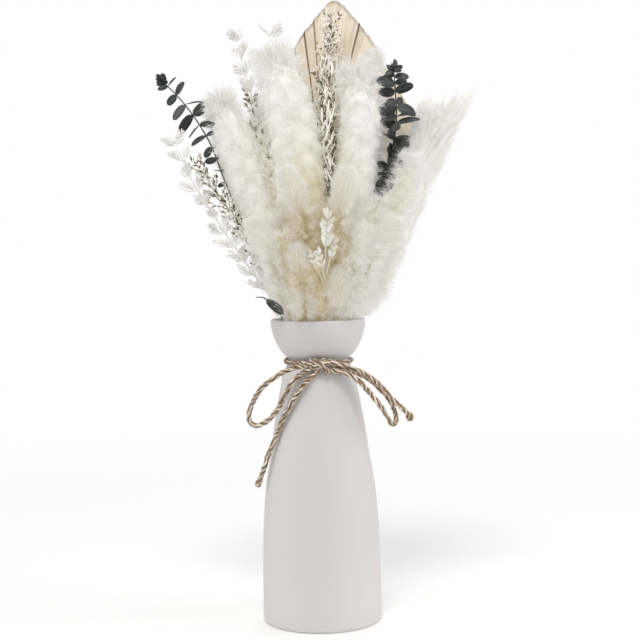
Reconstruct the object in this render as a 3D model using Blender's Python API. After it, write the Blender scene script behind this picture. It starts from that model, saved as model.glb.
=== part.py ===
# Vase of dried bunny tail grass: a turned ceramic vase that holds a mixed dried bouquet, with jute twine
# tied round its neck in a bow. Metres, +Z up. The front is -Y, and the origin is the middle of the vase's
# flat underside. Routes and outlines are lists of points in millimetres, scaled by MM where they are used.

import math
import random

import bmesh
import bpy
import numpy as np
from mathutils import Matrix, Vector

MM = 0.001
GAP = 0.3 * MM
SEED = 23

# Vase, in metres
VASE_HEIGHT = 0.2007
NECK_RADIUS = 0.0197
NECK_HEIGHT = 0.1729
WALL = 0.0033
FLOOR = 0.005
BASE_ROUNDING = 0.0026
LIP_ROUNDING = 0.0009
VASE_SIDES = 32
INNER_RINGS = (70.0, 134.0, 172.9, 180.6, 191.0)

# Outer profile as (radius, height) in mm: a body that flares slowly downwards, and the cup above the neck
BODY_PROFILE = [(20.5, 170.8), (23.3, 166.4), (25.1, 157.5), (29.5, 133.7), (33.0, 110.0), (36.2, 90.0),
                (38.0, 70.0), (39.1, 38.0), (39.4, 12.0)]
CUP_PROFILE = [(20.3, 175.0), (22.5, 177.0), (25.3, 180.6), (27.9, 185.4), (30.0, 191.0), (31.2, 197.0)]

# Jute twine, in metres
TWINE_DIAMETER = 0.003
TWINE_STEP = 0.0052
KNOT_CENTRE = (1.8, -24.4, 171.9)
KNOT_RADII = (4.3, 3.0, 3.9)
KNOT_STRAND = [(-0.6, -24.0, 174.6), (0.6, -27.0, 173.6), (2.2, -28.0, 171.6), (3.2, -27.0, 169.6),
               (3.0, -24.8, 168.6)]
TWINE_ROUTES = {
    "twine_loop_left": [(-3.6, -25.0, 173.1), (-9.1, -25.0, 172.0), (-15.9, -24.0, 170.4),
                        (-23.0, -22.5, 167.8), (-30.2, -21.0, 163.2), (-36.8, -19.5, 157.7),
                        (-41.5, -18.0, 151.1), (-44.6, -17.0, 144.6), (-46.0, -17.0, 138.8),
                        (-44.7, -17.5, 134.3), (-40.5, -18.5, 132.7), (-35.2, -19.5, 135.0),
                        (-30.3, -20.5, 139.3), (-26.0, -21.5, 145.5), (-22.6, -22.5, 152.0),
                        (-18.6, -23.2, 158.8), (-13.4, -23.8, 164.8), (-8.2, -24.2, 168.3),
                        (-4.4, -24.2, 169.7)],
    "twine_tail_left": [(-1.9, -25.0, 166.9), (-5.2, -25.5, 164.6), (-10.0, -25.8, 159.6),
                        (-14.8, -25.6, 153.0), (-18.8, -24.6, 146.5), (-22.2, -23.0, 140.0),
                        (-25.3, -20.6, 133.4), (-28.0, -18.2, 126.2), (-31.1, -16.2, 118.8),
                        (-34.3, -14.0, 111.4), (-36.7, -12.5, 104.0), (-39.5, -11.0, 96.7),
                        (-41.9, -10.0, 90.8)],
    "twine_loop_right": [(7.6, -22.6, 171.4), (13.7, -21.8, 170.0), (20.1, -20.5, 167.8),
                         (26.6, -19.0, 165.0), (33.1, -17.5, 161.2), (39.5, -16.5, 155.4),
                         (44.6, -16.0, 149.8), (47.1, -16.3, 145.6), (49.0, -18.0, 141.2),
                         (49.7, -21.0, 137.1), (49.0, -24.5, 133.7), (46.6, -28.0, 133.6),
                         (43.7, -30.0, 138.4), (39.9, -30.5, 144.3), (35.3, -30.0, 150.7),
                         (30.0, -29.0, 157.0), (24.7, -28.0, 162.4), (18.7, -27.0, 166.2),
                         (13.0, -26.0, 168.2), (7.4, -25.2, 168.9)],
    "twine_tail_right": [(6.9, -25.6, 173.8), (13.7, -26.0, 172.7), (20.0, -26.0, 170.3),
                         (26.4, -25.5, 167.6), (32.8, -25.0, 163.9), (39.2, -24.5, 158.3),
                         (44.2, -24.0, 152.7), (48.7, -23.5, 147.7), (53.1, -23.0, 143.7),
                         (57.6, -22.5, 139.1), (60.5, -22.0, 135.1)],
}

# Where stems pass: their spacing, and how far from the axis they may stand, in mm
STEM_SPACING = 4.1
NECK_REACH = 14.4
RIM_LEVEL = 203.0
RIM_REACH = 25.6
RIM_TO_NECK = 0.56
FLOOR_SPREAD = 1.65
STEM_RINGS = (152.0, 172.9, 188.0, 203.0)
CLEARANCE = 1.1
CELL_GAP = 1.7

# Pampas plumes. route runs from just over the rim to the tip, reach is the fluff's greatest radius
PLUMES = {
    "far_left": {"route": [(-14.9, -3, 212), (-30.7, -5, 246), (-42, -5, 276), (-49.5, -4, 303),
                           (-57, -3, 329), (-61.8, -2, 342)], "reach": 14.5, "taper": 0.16},
    "left": {"route": [(-3.7, -7, 210), (-7.8, -9, 240), (-10.5, -11, 272), (-12.6, -10, 302),
                       (-16.1, -9, 331), (-20.3, -8, 352), (-23.4, -6, 365)], "reach": 16.0, "taper": 0.14},
    "right": {"route": [(10, -7, 210), (18.3, -9, 239), (24.7, -11, 272), (27.7, -11, 298),
                        (28.8, -10, 324), (28, -9, 345), (26.5, -8, 358)], "reach": 15.0, "taper": 0.12},
    "rear": {"route": [(13.5, 4, 209), (23.3, 5, 239), (32, 5, 285), (36.7, 6, 325), (38.6, 7, 355),
                       (38.6, 8, 372)], "reach": 11.0, "taper": 0.2},
    "far_right": {"route": [(21.2, -3, 208), (36, -4, 226), (51.5, -5, 255), (64.5, -4, 284),
                            (77, -2, 312), (89, 0, 332), (98.5, 2, 342)], "reach": 17.0, "taper": 0.45},
}
PLUME_TUFTS = 46
PLUME_STEM_RADIUS = 1.1
PLUME_CORE = 0.6
PLUME_SIDES = 7

# Bunny tails. foot is where the head begins and tip where its awns end
BUNNY_TAILS = {
    1: {"foot": (-8.4, -30, 268.5), "tip": (-20.6, -34, 300.5)},
    2: {"foot": (15.5, -30, 268.0), "tip": (20.6, -34, 299.5)},
    3: {"foot": (24.0, -28, 235.0), "tip": (33.5, -33, 263.5)},
    4: {"foot": (-9.5, -29, 223.0), "tip": (-14.6, -33, 252.5)},
    5: {"foot": (-28.5, -26, 240.0), "tip": (-42.5, -31, 268.0)},
    6: {"foot": (12.5, -26.5, 209.0), "tip": (17.0, -32.5, 236.0)},
    7: {"foot": (37.5, -27, 243.0), "tip": (51.5, -32, 268.0)},
    8: {"foot": (-18.0, 26, 238.0), "tip": (-27.0, 36, 268.0)},
    9: {"foot": (8.0, 30, 252.0), "tip": (12.0, 40, 283.0)},
    10: {"foot": (30.0, 22, 230.0), "tip": (42.0, 31, 257.0)},
}
BUNNY_REACH = 8.4
BUNNY_CORE = 0.76
BUNNY_CORE_LENGTH = 0.8
BUNNY_AWNS = 15
BUNNY_SIDES = 7
BUNNY_STEM_RADIUS = 0.75

# Leafy stems. leaf pairs stand along the route from the share start to the tip
EUCALYPTUS = {
    "left": {"route": [(-25.0, -6, 206), (-32.6, -8, 227), (-42.6, -9, 253), (-52.3, -9, 276),
                       (-60.5, -8, 296), (-67.5, -7, 315), (-75.2, -6, 329), (-89.4, -5, 348),
                       (-99.5, -4, 358)], "pairs": 10, "start": 0.08},
    "right": {"route": [(15.9, -8, 210), (29.4, -12, 246), (39.6, -14, 275), (45.8, -14, 294),
                        (50.7, -13, 314), (53, -12, 331), (52.3, -12, 350), (51.6, -12, 363)],
              "pairs": 10, "start": 0.3},
}
BLEACHED = {
    "outer": {"route": [(-21.0, -13.5, 206), (-36, -15, 224), (-51.2, -15, 246), (-67.8, -13, 272),
                        (-81.9, -11, 296), (-90.5, -9, 316)], "pairs": 9, "start": 0.2},
    "top": {"route": [(-9.6, 5, 220), (-20.1, 7, 266), (-30.1, 8, 306), (-38.9, 8.5, 340),
                      (-45.3, 9, 363), (-50.4, 10, 385)], "pairs": 7, "start": 0.5},
    "behind": {"route": [(-7.5, 7, 226), (-15.9, 9.5, 286), (-21.8, 11, 333), (-25.9, 13, 367),
                         (-27.6, 13, 388)], "pairs": 6, "start": 0.6},
    "front": {"route": [(2.4, -22, 211), (4.5, -31, 240), (4.8, -34.5, 259), (5.1, -35, 274)],
              "pairs": 7, "start": 0.25},
}
CASPIA = {
    "centre": {"route": [(3.5, 0, 215), (6.7, 0, 282), (7.2, 1, 312), (7.7, 3, 345), (9.5, 7, 372),
                         (12.6, 11, 393)], "sprigs": 38, "reach": 8.5, "start": 0.3},
    "left": {"route": [(-18, -11.5, 208), (-33.5, -17, 239), (-48.6, -17.5, 263), (-65.6, -13, 286),
                       (-77, -11, 304)], "sprigs": 24, "reach": 7.5, "start": 0.3},
    "between": {"route": [(-9.0, 0, 222), (-21.1, 0, 276), (-28.7, 0, 299), (-36.2, 0.5, 326),
                          (-41.8, 2, 346)], "sprigs": 22, "reach": 6.0, "start": 0.45},
}
LEAFY_STEM_RADIUS = 0.8
LEAF_THICKNESS = 0.7

# Palm spear: pleats that fan from a hub, as trimmed lengths in mm at angles in degrees from its middle line
PALM_ROUTE = [(4.5, 9, 210), (7.5, 12, 238), (9.1, 14.5, 262), (10.6, 15.8, 280)]
PALM_HUB = (9.1, 14.5, 262.0)
PALM_TILT = -2.6
PALM_BACK = 4.4
PALM_TRIM = [(-43, 84), (-34, 90), (-26, 99), (-17, 112), (-12, 122), (-7, 137), (-1.5, 151), (1.5, 151),
             (6, 142), (10, 130), (15, 121), (25, 103), (36, 92), (43, 86)]
PALM_PLEATS = 22
PALM_SPREAD = 42.0
PALM_ROOT = 11.0
PALM_PLEAT_DEPTH = 0.018
PALM_THICKNESS = 0.8
PALM_PETIOLE_RADIUS = 1.7

COLOURS = {
    "ceramic": ((0.84, 0.83, 0.82), 0.55),
    "jute": ((0.55, 0.42, 0.28), 0.95),
    "palm": ((0.72, 0.59, 0.42), 0.8),
    "pampas": ((0.93, 0.90, 0.82), 0.95),
    "bunny": ((0.95, 0.91, 0.80), 0.95),
    "straw": ((0.70, 0.60, 0.38), 0.8),
    "eucalyptus": ((0.075, 0.10, 0.095), 0.7),
    "caspia": ((0.42, 0.37, 0.30), 0.9),
    "bleached": ((0.93, 0.92, 0.88), 0.8),
}


def clear_scene():
    for thing in list(bpy.data.objects):
        bpy.data.objects.remove(thing, do_unlink=True)


def make_material(name):
    colour, roughness = COLOURS[name]
    material = bpy.data.materials.new(name)
    material.use_nodes = True
    shader = material.node_tree.nodes["Principled BSDF"]
    shader.inputs["Base Color"].default_value = (*colour, 1.0)
    shader.inputs["Roughness"].default_value = roughness
    shader.inputs["Metallic"].default_value = 0.0
    return material


def smooth_line(points, count):
    # A cubic curve through the points, read again at count places evenly spaced along its length.
    points = np.asarray(points, float)
    chord = np.concatenate([[0.0], np.cumsum(np.linalg.norm(np.diff(points, axis=0), axis=1))])
    tangents = np.gradient(points, chord, axis=0)
    at = np.linspace(0.0, chord[-1], 60 * len(points))
    piece = np.clip(np.searchsorted(chord, at, side="right") - 1, 0, len(points) - 2)
    span = (chord[piece + 1] - chord[piece])[:, None]
    t = (at - chord[piece])[:, None] / span
    line = ((2 * t ** 3 - 3 * t ** 2 + 1) * points[piece] + (t ** 3 - 2 * t ** 2 + t) * span * tangents[piece]
            + (3 * t ** 2 - 2 * t ** 3) * points[piece + 1] + (t ** 3 - t ** 2) * span * tangents[piece + 1])
    return read_evenly(line, count)


def read_evenly(line, count):
    length = np.concatenate([[0.0], np.cumsum(np.linalg.norm(np.diff(line, axis=0), axis=1))])
    at = np.linspace(0.0, length[-1], count)
    return np.stack([np.interp(at, length, line[:, i]) for i in range(line.shape[1])], axis=1)


def line_length(line):
    return float(np.linalg.norm(np.diff(line, axis=0), axis=1).sum())


def unit(vector):
    return vector / np.linalg.norm(vector)


def frames_along(line):
    # For each point of the line, its direction and two sides at right angles to it, carried without twist.
    directions = np.gradient(line, axis=0)
    directions /= np.linalg.norm(directions, axis=1)[:, None]
    side = unit(np.cross(directions[0], (0.0, 1.0, 0.0)))
    sides = []
    for direction in directions:
        side = unit(side - direction * np.dot(side, direction))
        sides.append(side)
    sides = np.array(sides)
    return directions, sides, np.cross(directions, sides)


def build_mesh(name, vertices, faces):
    mesh = bpy.data.meshes.new(name)
    mesh.from_pydata([tuple(v) for v in vertices], [], faces)
    mesh.update()
    return mesh


def tube_mesh(name, line, radii, sides):
    # A closed tube of rings round the line, with a flat cap at each end. The line and radii are in mm.
    line = np.asarray(line, float)
    _, side, other = frames_along(line)
    angles = np.arange(sides) * 2 * math.pi / sides
    ring = side[:, None] * np.cos(angles)[:, None] + other[:, None] * np.sin(angles)[:, None]
    vertices = (line[:, None] + ring * np.asarray(radii)[:, None, None]).reshape(-1, 3) * MM
    faces = [(i * sides + j, i * sides + (j + 1) % sides, (i + 1) * sides + (j + 1) % sides,
              (i + 1) * sides + j) for i in range(len(line) - 1) for j in range(sides)]
    faces.append(tuple(reversed(range(sides))))
    last = (len(line) - 1) * sides
    faces.append(tuple(range(last, last + sides)))
    return build_mesh(name, vertices, faces)


def spike_mesh(name, root, tip, radius, twist=0.0):
    # A three-sided spike from a triangle round its root to a point. Everything is in mm.
    direction = unit(np.subtract(tip, root))
    side = unit(np.cross(direction, (0.31, 0.87, 0.38)))
    other = np.cross(direction, side)
    angles = twist + np.arange(3) * 2 * math.pi / 3
    base = root + (side * np.cos(angles)[:, None] + other * np.sin(angles)[:, None]) * radius
    vertices = np.vstack([base, [tip]]) * MM
    return build_mesh(name, vertices, [(0, 1, 3), (1, 2, 3), (2, 0, 3), (2, 1, 0)])


def leaf_mesh(name, root, direction, normal, length, width, outline):
    # A flat blade: the outline's (along, across) pairs from root to tip, mirrored, LEAF_THICKNESS thick.
    across = unit(np.cross(normal, direction))
    normal = np.cross(direction, across)
    right = [(u, v) for u, v in outline]
    left = [(u, -v) for u, v in reversed(outline) if v > 0]
    flat = [root + direction * (u * length) + across * (v * width) for u, v in right + left]
    count = len(flat)
    top = [p + normal * LEAF_THICKNESS / 2 for p in flat]
    bottom = [p - normal * LEAF_THICKNESS / 2 for p in flat]
    faces = [tuple(reversed(range(count))), tuple(range(count, 2 * count))]
    faces += [(i, (i + 1) % count, count + (i + 1) % count, count + i) for i in range(count)]
    mesh = build_mesh(name, np.array(top + bottom) * MM, faces)
    outward(mesh)
    return mesh


def outward(mesh):
    work = bmesh.new()
    work.from_mesh(mesh)
    bmesh.ops.recalc_face_normals(work, faces=work.faces)
    work.to_mesh(mesh)
    work.free()


def add_object(name, mesh, material):
    thing = bpy.data.objects.new(name, mesh)
    bpy.context.scene.collection.objects.link(thing)
    mesh.materials.clear()
    mesh.materials.append(material)
    return thing


def fuse(name, body, pieces, material, solver="MANIFOLD"):
    # Joins the pieces to the body with one union, keeps its largest shell and takes the pieces away.
    thing = add_object(name, body, material)
    group = bpy.data.collections.new(name + "_pieces")
    bpy.context.scene.collection.children.link(group)
    for index, mesh in enumerate(pieces):
        group.objects.link(bpy.data.objects.new(f"{name}_piece_{index}", mesh))
    union = thing.modifiers.new("union", "BOOLEAN")
    union.operation = "UNION"
    union.operand_type = "COLLECTION"
    union.collection = group
    union.solver = solver
    bpy.context.view_layer.update()
    graph = bpy.context.evaluated_depsgraph_get()
    joined = bpy.data.meshes.new_from_object(thing.evaluated_get(graph))
    thing.modifiers.clear()
    thing.data = joined
    for piece in list(group.objects):
        bpy.data.objects.remove(piece, do_unlink=True)
    bpy.data.collections.remove(group)
    tidy_shell(joined)
    joined.materials.clear()
    joined.materials.append(material)
    return thing


def tidy_shell(mesh):
    # Splits what the union left into triangles and keeps one shell of it.
    work = bmesh.new()
    work.from_mesh(mesh)
    bmesh.ops.triangulate(work, faces=work.faces)
    keep_largest_shell(work)
    work.to_mesh(mesh)
    work.free()


def keep_largest_shell(work):
    # The shell that spans the most space stays. A scrap or a sealed hollow is dropped.
    seen = set()
    shells = []
    for start in work.faces:
        if start in seen:
            continue
        shell = {start}
        front = [start]
        while front:
            for edge in front.pop().edges:
                fresh = [face for face in edge.link_faces if face not in shell]
                shell.update(fresh)
                front.extend(fresh)
        seen |= shell
        shells.append(shell)
    largest = max(shells, key=len)
    spare = [face for shell in shells if shell is not largest for face in shell]
    bmesh.ops.delete(work, geom=spare, context="FACES")


def arc_points(centre, radius, start, stop, count):
    # Points on an arc in the (radius, height) plane, from start to stop in degrees.
    angles = np.radians(np.linspace(start, stop, count))
    return [(centre[0] + radius * math.cos(a), centre[1] + radius * math.sin(a)) for a in angles]


def vase_profile():
    # From the middle of the inner floor, up the inner wall, over the lip, down the outside and back below.
    wall = WALL / MM
    height = VASE_HEIGHT / MM
    lip = LIP_ROUNDING / MM
    rounding = BASE_ROUNDING / MM
    neck = (NECK_RADIUS / MM, NECK_HEIGHT / MM)
    cup = smooth_line([neck] + CUP_PROFILE, 6)
    body = smooth_line([neck] + BODY_PROFILE, 10)
    rim = CUP_PROFILE[-1][0]
    foot = BODY_PROFILE[-1][0]
    inner = [(foot - wall - 2.0, FLOOR / MM), (foot - wall, FLOOR / MM + 3.0)]
    inner += [(float(inner_radius(z)), z) for z in INNER_RINGS]
    lip_points = arc_points((rim - wall + lip, height - lip), lip, 180, 90, 2)
    lip_points += arc_points((rim - lip, height - lip), lip, 90, 0, 2)
    underside = arc_points((foot - rounding, rounding), rounding, 0, -90, 3)
    points = [(0.0, FLOOR / MM)] + inner + lip_points
    points += [tuple(p) for p in cup[::-1]] + [tuple(p) for p in body[1:]] + underside + [(0.0, 0.0)]
    return points


def make_vase(material):
    profile = vase_profile()
    vertices = [(r * MM, 0.0, z * MM) for r, z in profile]
    mesh = bpy.data.meshes.new("vase")
    mesh.from_pydata(vertices, [(i, i + 1) for i in range(len(vertices) - 1)], [])
    vase = add_object("vase", mesh, material)
    turn = vase.modifiers.new("turn", "SCREW")
    turn.axis = "Z"
    turn.steps = VASE_SIDES
    turn.render_steps = VASE_SIDES
    turn.use_merge_vertices = True
    turn.merge_threshold = 0.0001
    turn.use_smooth_shade = True


def inner_radius(height):
    # Radius of the vase's inner wall at a height, both in mm.
    profile = [(r, z) for r, z in reversed(BODY_PROFILE)] + [(NECK_RADIUS / MM, NECK_HEIGHT / MM)]
    profile += CUP_PROFILE + [(CUP_PROFILE[-1][0], VASE_HEIGHT / MM)]
    radii, heights = zip(*profile)
    return np.interp(height, heights, radii) - WALL / MM


def make_twine_band(material):
    # The turn round the neck, the knot in front of it and the strand that crosses the knot.
    radius = TWINE_DIAMETER / MM / 2
    ring = NECK_RADIUS / MM + GAP / MM + radius
    angles = np.arange(VASE_SIDES) * 2 * math.pi / VASE_SIDES
    work = bmesh.new()
    rings = []
    for a in angles:
        centre = Vector((ring * math.cos(a), ring * math.sin(a), NECK_HEIGHT / MM))
        out = Vector((math.cos(a), math.sin(a), 0.0))
        circle = [centre + out * radius * math.cos(b) + Vector((0, 0, radius * math.sin(b)))
                  for b in np.arange(8) * math.pi / 4]
        rings.append([work.verts.new(p * MM) for p in circle])
    for one, two in zip(rings, rings[1:] + rings[:1]):
        for j in range(8):
            work.faces.new((one[j], two[j], two[(j + 1) % 8], one[(j + 1) % 8]))
    band = bpy.data.meshes.new("twine_band")
    bmesh.ops.recalc_face_normals(work, faces=work.faces)
    work.to_mesh(band)
    work.free()
    knot = bpy.data.meshes.new("knot")
    work = bmesh.new()
    shape = Matrix.Translation(Vector(KNOT_CENTRE) * MM) @ Matrix.Diagonal((*KNOT_RADII, 1.0))
    bmesh.ops.create_uvsphere(work, u_segments=10, v_segments=6, radius=MM, matrix=shape)
    work.to_mesh(knot)
    work.free()
    strand = smooth_line(KNOT_STRAND, 8)
    crossing = tube_mesh("crossing", strand, np.full(len(strand), radius - 0.1), 6)
    fuse("twine_band", band, [knot, crossing], material)


def make_cord(name, material):
    # A free stretch of the twine, as a plain tube along the smooth curve through its route.
    route = TWINE_ROUTES[name]
    count = round(line_length(np.array(route)) * MM / TWINE_STEP) + 1
    line = smooth_line(route, count)
    curve = bpy.data.curves.new(name, "CURVE")
    curve.dimensions = "3D"
    curve.bevel_depth = TWINE_DIAMETER / 2
    curve.bevel_resolution = 2
    curve.use_fill_caps = True
    spline = curve.splines.new("POLY")
    spline.points.add(count - 1)
    for point, place in zip(spline.points, line):
        point.co = (*(place * MM), 1.0)
    curve.materials.append(material)
    cord = bpy.data.objects.new(name, curve)
    bpy.context.scene.collection.objects.link(cord)


class Stem:
    # One stem of the bouquet: its line from the vase's floor to its tip, the radius of what is solid along
    # the line, and the radius that its fluff or leaves reach. All in mm.
    def __init__(self, name, route, radius, reach):
        self.name = name
        self.route = np.asarray(route, float)
        self.radius = radius
        self.reach = reach
        self.line = None
        self.solid = None
        self.cell = None


def spread_apart(places, radii, limit):
    # Pushes stems that pass a level too near each other apart, and keeps them inside the limit.
    places = np.array(places, float)
    for _ in range(400):
        for i in range(len(places)):
            away = places[i] - places
            distance = np.linalg.norm(away, axis=1)
            distance[i] = np.inf
            need = STEM_SPACING + 0.6 * (radii[i] + radii - 1.6)
            close = distance < need
            if close.any():
                push = (away[close] / np.maximum(distance[close], 1e-6)[:, None]
                        * (need[close] - distance[close])[:, None])
                places[i] += 0.3 * push.sum(axis=0)
            size = np.linalg.norm(places[i])
            if size > limit:
                places[i] *= limit / size
    return places


def stand_stems(stems):
    # Runs each stem from the floor through its own place in the neck and at the rim into its route.
    radii = np.array([stem.radius for stem in stems])
    rim = spread_apart([level_crossing(stem.route) for stem in stems], radii, RIM_REACH)
    neck = spread_apart(rim * RIM_TO_NECK, radii, NECK_REACH)
    floor_height = FLOOR / MM + GAP / MM + 0.1
    for stem, at_rim, at_neck in zip(stems, rim, neck):
        start = np.array([*(at_neck * FLOOR_SPREAD), floor_height])
        below = np.array([*at_neck, NECK_HEIGHT / MM])
        above = np.array([*at_rim, RIM_LEVEL])
        upper = stem.route[stem.route[:, 2] > RIM_LEVEL + 12.0]
        bend = smooth_line(np.vstack([start, start + (below - start) * 0.86, below, above, upper]), 200)
        bend[0] = start
        stem.line = np.vstack([start, read_evenly(bend[bend[:, 2] > 150.0], 30)])
        stem.solid = np.full(len(stem.line), stem.radius)
        stem.cell = stem.solid.copy()


def level_crossing(route):
    # Where a route, run on towards the neck's middle, passes the rim's level.
    first = route[0]
    share = (RIM_LEVEL - NECK_HEIGHT / MM) / (first[2] - NECK_HEIGHT / MM)
    return first[:2] * (RIM_TO_NECK + (1 - RIM_TO_NECK) * min(share, 1.0))


def nearest(line, values, points):
    # Each point's distance to the line, and the values read at the nearest place on it.
    start = line[:-1]
    span = np.diff(line, axis=0)
    length = (span ** 2).sum(axis=1)
    offset = points[:, None] - start
    share = np.clip((offset * span).sum(axis=2) / length, 0.0, 1.0)
    distance = np.linalg.norm(offset - share[:, :, None] * span, axis=2)
    best = distance.argmin(axis=1)
    rows = np.arange(len(points))
    at = share[rows, best]
    return distance[rows, best], values[best] * (1 - at) + values[best + 1] * at


def spare_room(points, own, stems):
    # How far each point may still move before it leaves its stem's cell, meets another stem, the vase's
    # wall or the palm's blade. Negative where it is already outside.
    mine, cell = nearest(own.line, own.cell, points)
    room = np.full(len(points), 99.0)
    for other in stems:
        if other is own:
            continue
        distance, solid = nearest(other.line, other.solid, points)
        room = np.minimum(room, distance - solid - CLEARANCE)
        other_cell = nearest(other.line, other.cell, points)[1]
        room = np.minimum(room, ((distance - other_cell) - (mine - cell) - CELL_GAP) / 2)
    radius = np.linalg.norm(points[:, :2], axis=1)
    inside = points[:, 2] < VASE_HEIGHT / MM + 1.5
    room = np.where(inside, np.minimum(room, inner_radius(points[:, 2]) - radius - CLEARANCE), room)
    return np.minimum(room, palm_room(points, own))


def palm_frame():
    # The blade's middle line and its normal, tilted sideways by PALM_TILT and back by PALM_BACK degrees.
    tilt = math.radians(PALM_TILT)
    back = math.radians(PALM_BACK)
    up = np.array([-math.sin(tilt) * math.cos(back), math.sin(back), math.cos(tilt) * math.cos(back)])
    across = unit(np.array([math.cos(tilt), 0.0, math.sin(tilt)]))
    return up, across, np.cross(up, across)


def palm_trim(angle):
    angles, lengths = zip(*PALM_TRIM)
    return np.interp(angle, angles, lengths)


def palm_room(points, own):
    # The distance to the blade, where a point lies within the blade's outline or just outside it.
    if own.name == "palm_spear":
        return np.full(len(points), 99.0)
    up, across, normal = palm_frame()
    offset = points - np.array(PALM_HUB)
    along = offset @ up
    sideways = offset @ across
    radius = np.hypot(along, sideways)
    angle = np.degrees(np.arctan2(sideways, along))
    covered = (np.abs(angle) < PALM_SPREAD + 4) & (radius < palm_trim(angle) + 3)
    depth = PALM_PLEAT_DEPTH * radius + PALM_THICKNESS / 2
    return np.where(covered, np.abs(offset @ normal) - depth - CLEARANCE, 99.0)


def dome(share, taper):
    # The outline of a plume: narrow at the foot, full along its length, round or drawn out at the tip.
    foot = 0.62 + 0.38 * np.clip(share / 0.28, 0.0, 1.0)
    head = np.sqrt(np.clip(1 - ((share - 1 + taper) / taper).clip(0.0, 1.0) ** 2, 0.0, 1.0))
    return foot * (0.16 + 0.84 * head)


def head_line(stem, start_height, count):
    # The part of the stem's line above start_height, read evenly.
    line = stem.line
    start = int(np.argmax(line[:, 2] > start_height))
    share = (start_height - line[start - 1, 2]) / (line[start, 2] - line[start - 1, 2])
    first = line[start - 1] + share * (line[start] - line[start - 1])
    return read_evenly(np.vstack([first, line[start:]]), count)


def grow(root, tip, own, stems, shares=(1.0, 0.86, 0.72, 0.6, 0.48)):
    # The longest of the shares of the way from root to tip that stays in its stem's room, or 0.
    for share in shares:
        way = root + (tip - root) * share * np.linspace(0.3, 1.0, 5)[:, None]
        if spare_room(way, own, stems).min() > 0.0:
            return share
    return 0.0


def core_radii(line, wanted, own, stems):
    # The wanted core radius, held in where neighbours stand close.
    allowed = np.array([min(max(spare_ring(place, wanted_here, own, stems), 1.0), wanted_here)
                        for place, wanted_here in zip(line, wanted)])
    smooth = np.minimum(allowed, np.convolve(np.pad(allowed, 1, mode="edge"), np.full(3, 1 / 3), "valid"))
    return smooth


def spare_ring(place, wanted, own, stems):
    # The largest of a few radii at which a ball round the place keeps clear of everything else.
    directions = np.array([(x, y, z) for x in (-1, 0, 1) for y in (-1, 0, 1) for z in (-0.5, 0, 0.5)
                           if (x, y) != (0, 0)], float)
    directions /= np.linalg.norm(directions, axis=1)[:, None]
    for radius in np.linspace(wanted, 0.6, 12):
        if spare_room(place + directions * radius, own, stems).min() > 0.0:
            return radius
    return 0.0


def head_tufts(own, stems, line, radii, reach, count, lean, seed, spike):
    # Spikes set round the head by the golden angle, from its foot to its tip, each leaning lean degrees
    # from the head's direction, to the reach there, and shortened where a neighbour stands.
    draw = random.Random(seed)
    directions, sides, others = frames_along(line)
    share_at = np.linspace(0.0, 1.0, len(line))
    spikes = []
    for index in range(count):
        share = (index + 0.5) / count
        angle = index * math.radians(137.508)
        place = np.array([np.interp(share, share_at, line[:, i]) for i in range(3)])
        row = min(int(share * (len(line) - 1) + 0.5), len(line) - 1)
        out = sides[row] * math.cos(angle) + others[row] * math.sin(angle)
        tilt = math.radians(lean * (1.0 - 0.75 * max(0.0, share - 0.8) / 0.2) * draw.uniform(0.85, 1.15))
        way = directions[row] * math.cos(tilt) + out * math.sin(tilt)
        here = np.interp(share, share_at, reach)
        core = np.interp(share, share_at, radii)
        root = place + out * core * 0.35
        length = (here - core * 0.35) / max(math.sin(tilt), 0.34) * draw.uniform(0.9, 1.06)
        length = min(length, spike["longest"])
        taken = grow(root, root + way * length, own, stems)
        if taken * length > core + 1.6:
            radius = min(spike["radius"], core * 0.62)
            spikes.append(spike_mesh(f"{own.name}_tuft", root, root + way * length * taken, radius, angle))
    return spikes


def stem_tube(name, own, top_height, radius, material, sides=5):
    # The bare stem from the vase's floor to the height where its head begins.
    top = at_height(own.line, top_height)
    path = stem_path(np.vstack([own.line[own.line[:, 2] < top_height - 0.5], top]), 24.0)
    return add_object(name, tube_mesh(name, path, np.full(len(path), radius), sides), material)


def at_height(line, height):
    # The place where a line first rises through a height.
    return np.array([np.interp(height, line[:, 2], line[:, i]) for i in range(3)])


def stem_path(line, step):
    # A stem's line with few points: at the floor, round the neck and the rim, then about a step apart.
    low = [line[0]] + [at_height(line, height) for height in STEM_RINGS if height < line[-1, 2] - 4.0]
    upper = np.vstack([low[-1], line[line[:, 2] > low[-1][2] + 1.0]])
    return np.vstack([low[:-1], read_evenly(upper, max(2, round(line_length(upper) / step) + 1))])


def make_plumes(stems, chosen, plume_material, stem_material):
    for index, (key, plume) in enumerate(PLUMES.items()):
        own = chosen["plume_" + key]
        foot = own.foot
        line = head_line(own, foot + GAP / MM, 12)
        share = np.linspace(0.0, 1.0, len(line))
        reach = plume["reach"] * dome(share, plume["taper"])
        radii = core_radii(line, np.maximum(reach * PLUME_CORE, 1.5), own, stems)
        core = tube_mesh(own.name, line, radii, PLUME_SIDES)
        spike = {"radius": 2.9, "longest": 24.0}
        tufts = head_tufts(own, stems, line, radii, reach, PLUME_TUFTS, 38.0, SEED + index, spike)
        fuse(own.name, core, tufts, plume_material)
        stem_tube("plume_stem_" + key, own, foot, PLUME_STEM_RADIUS, stem_material)


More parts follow.
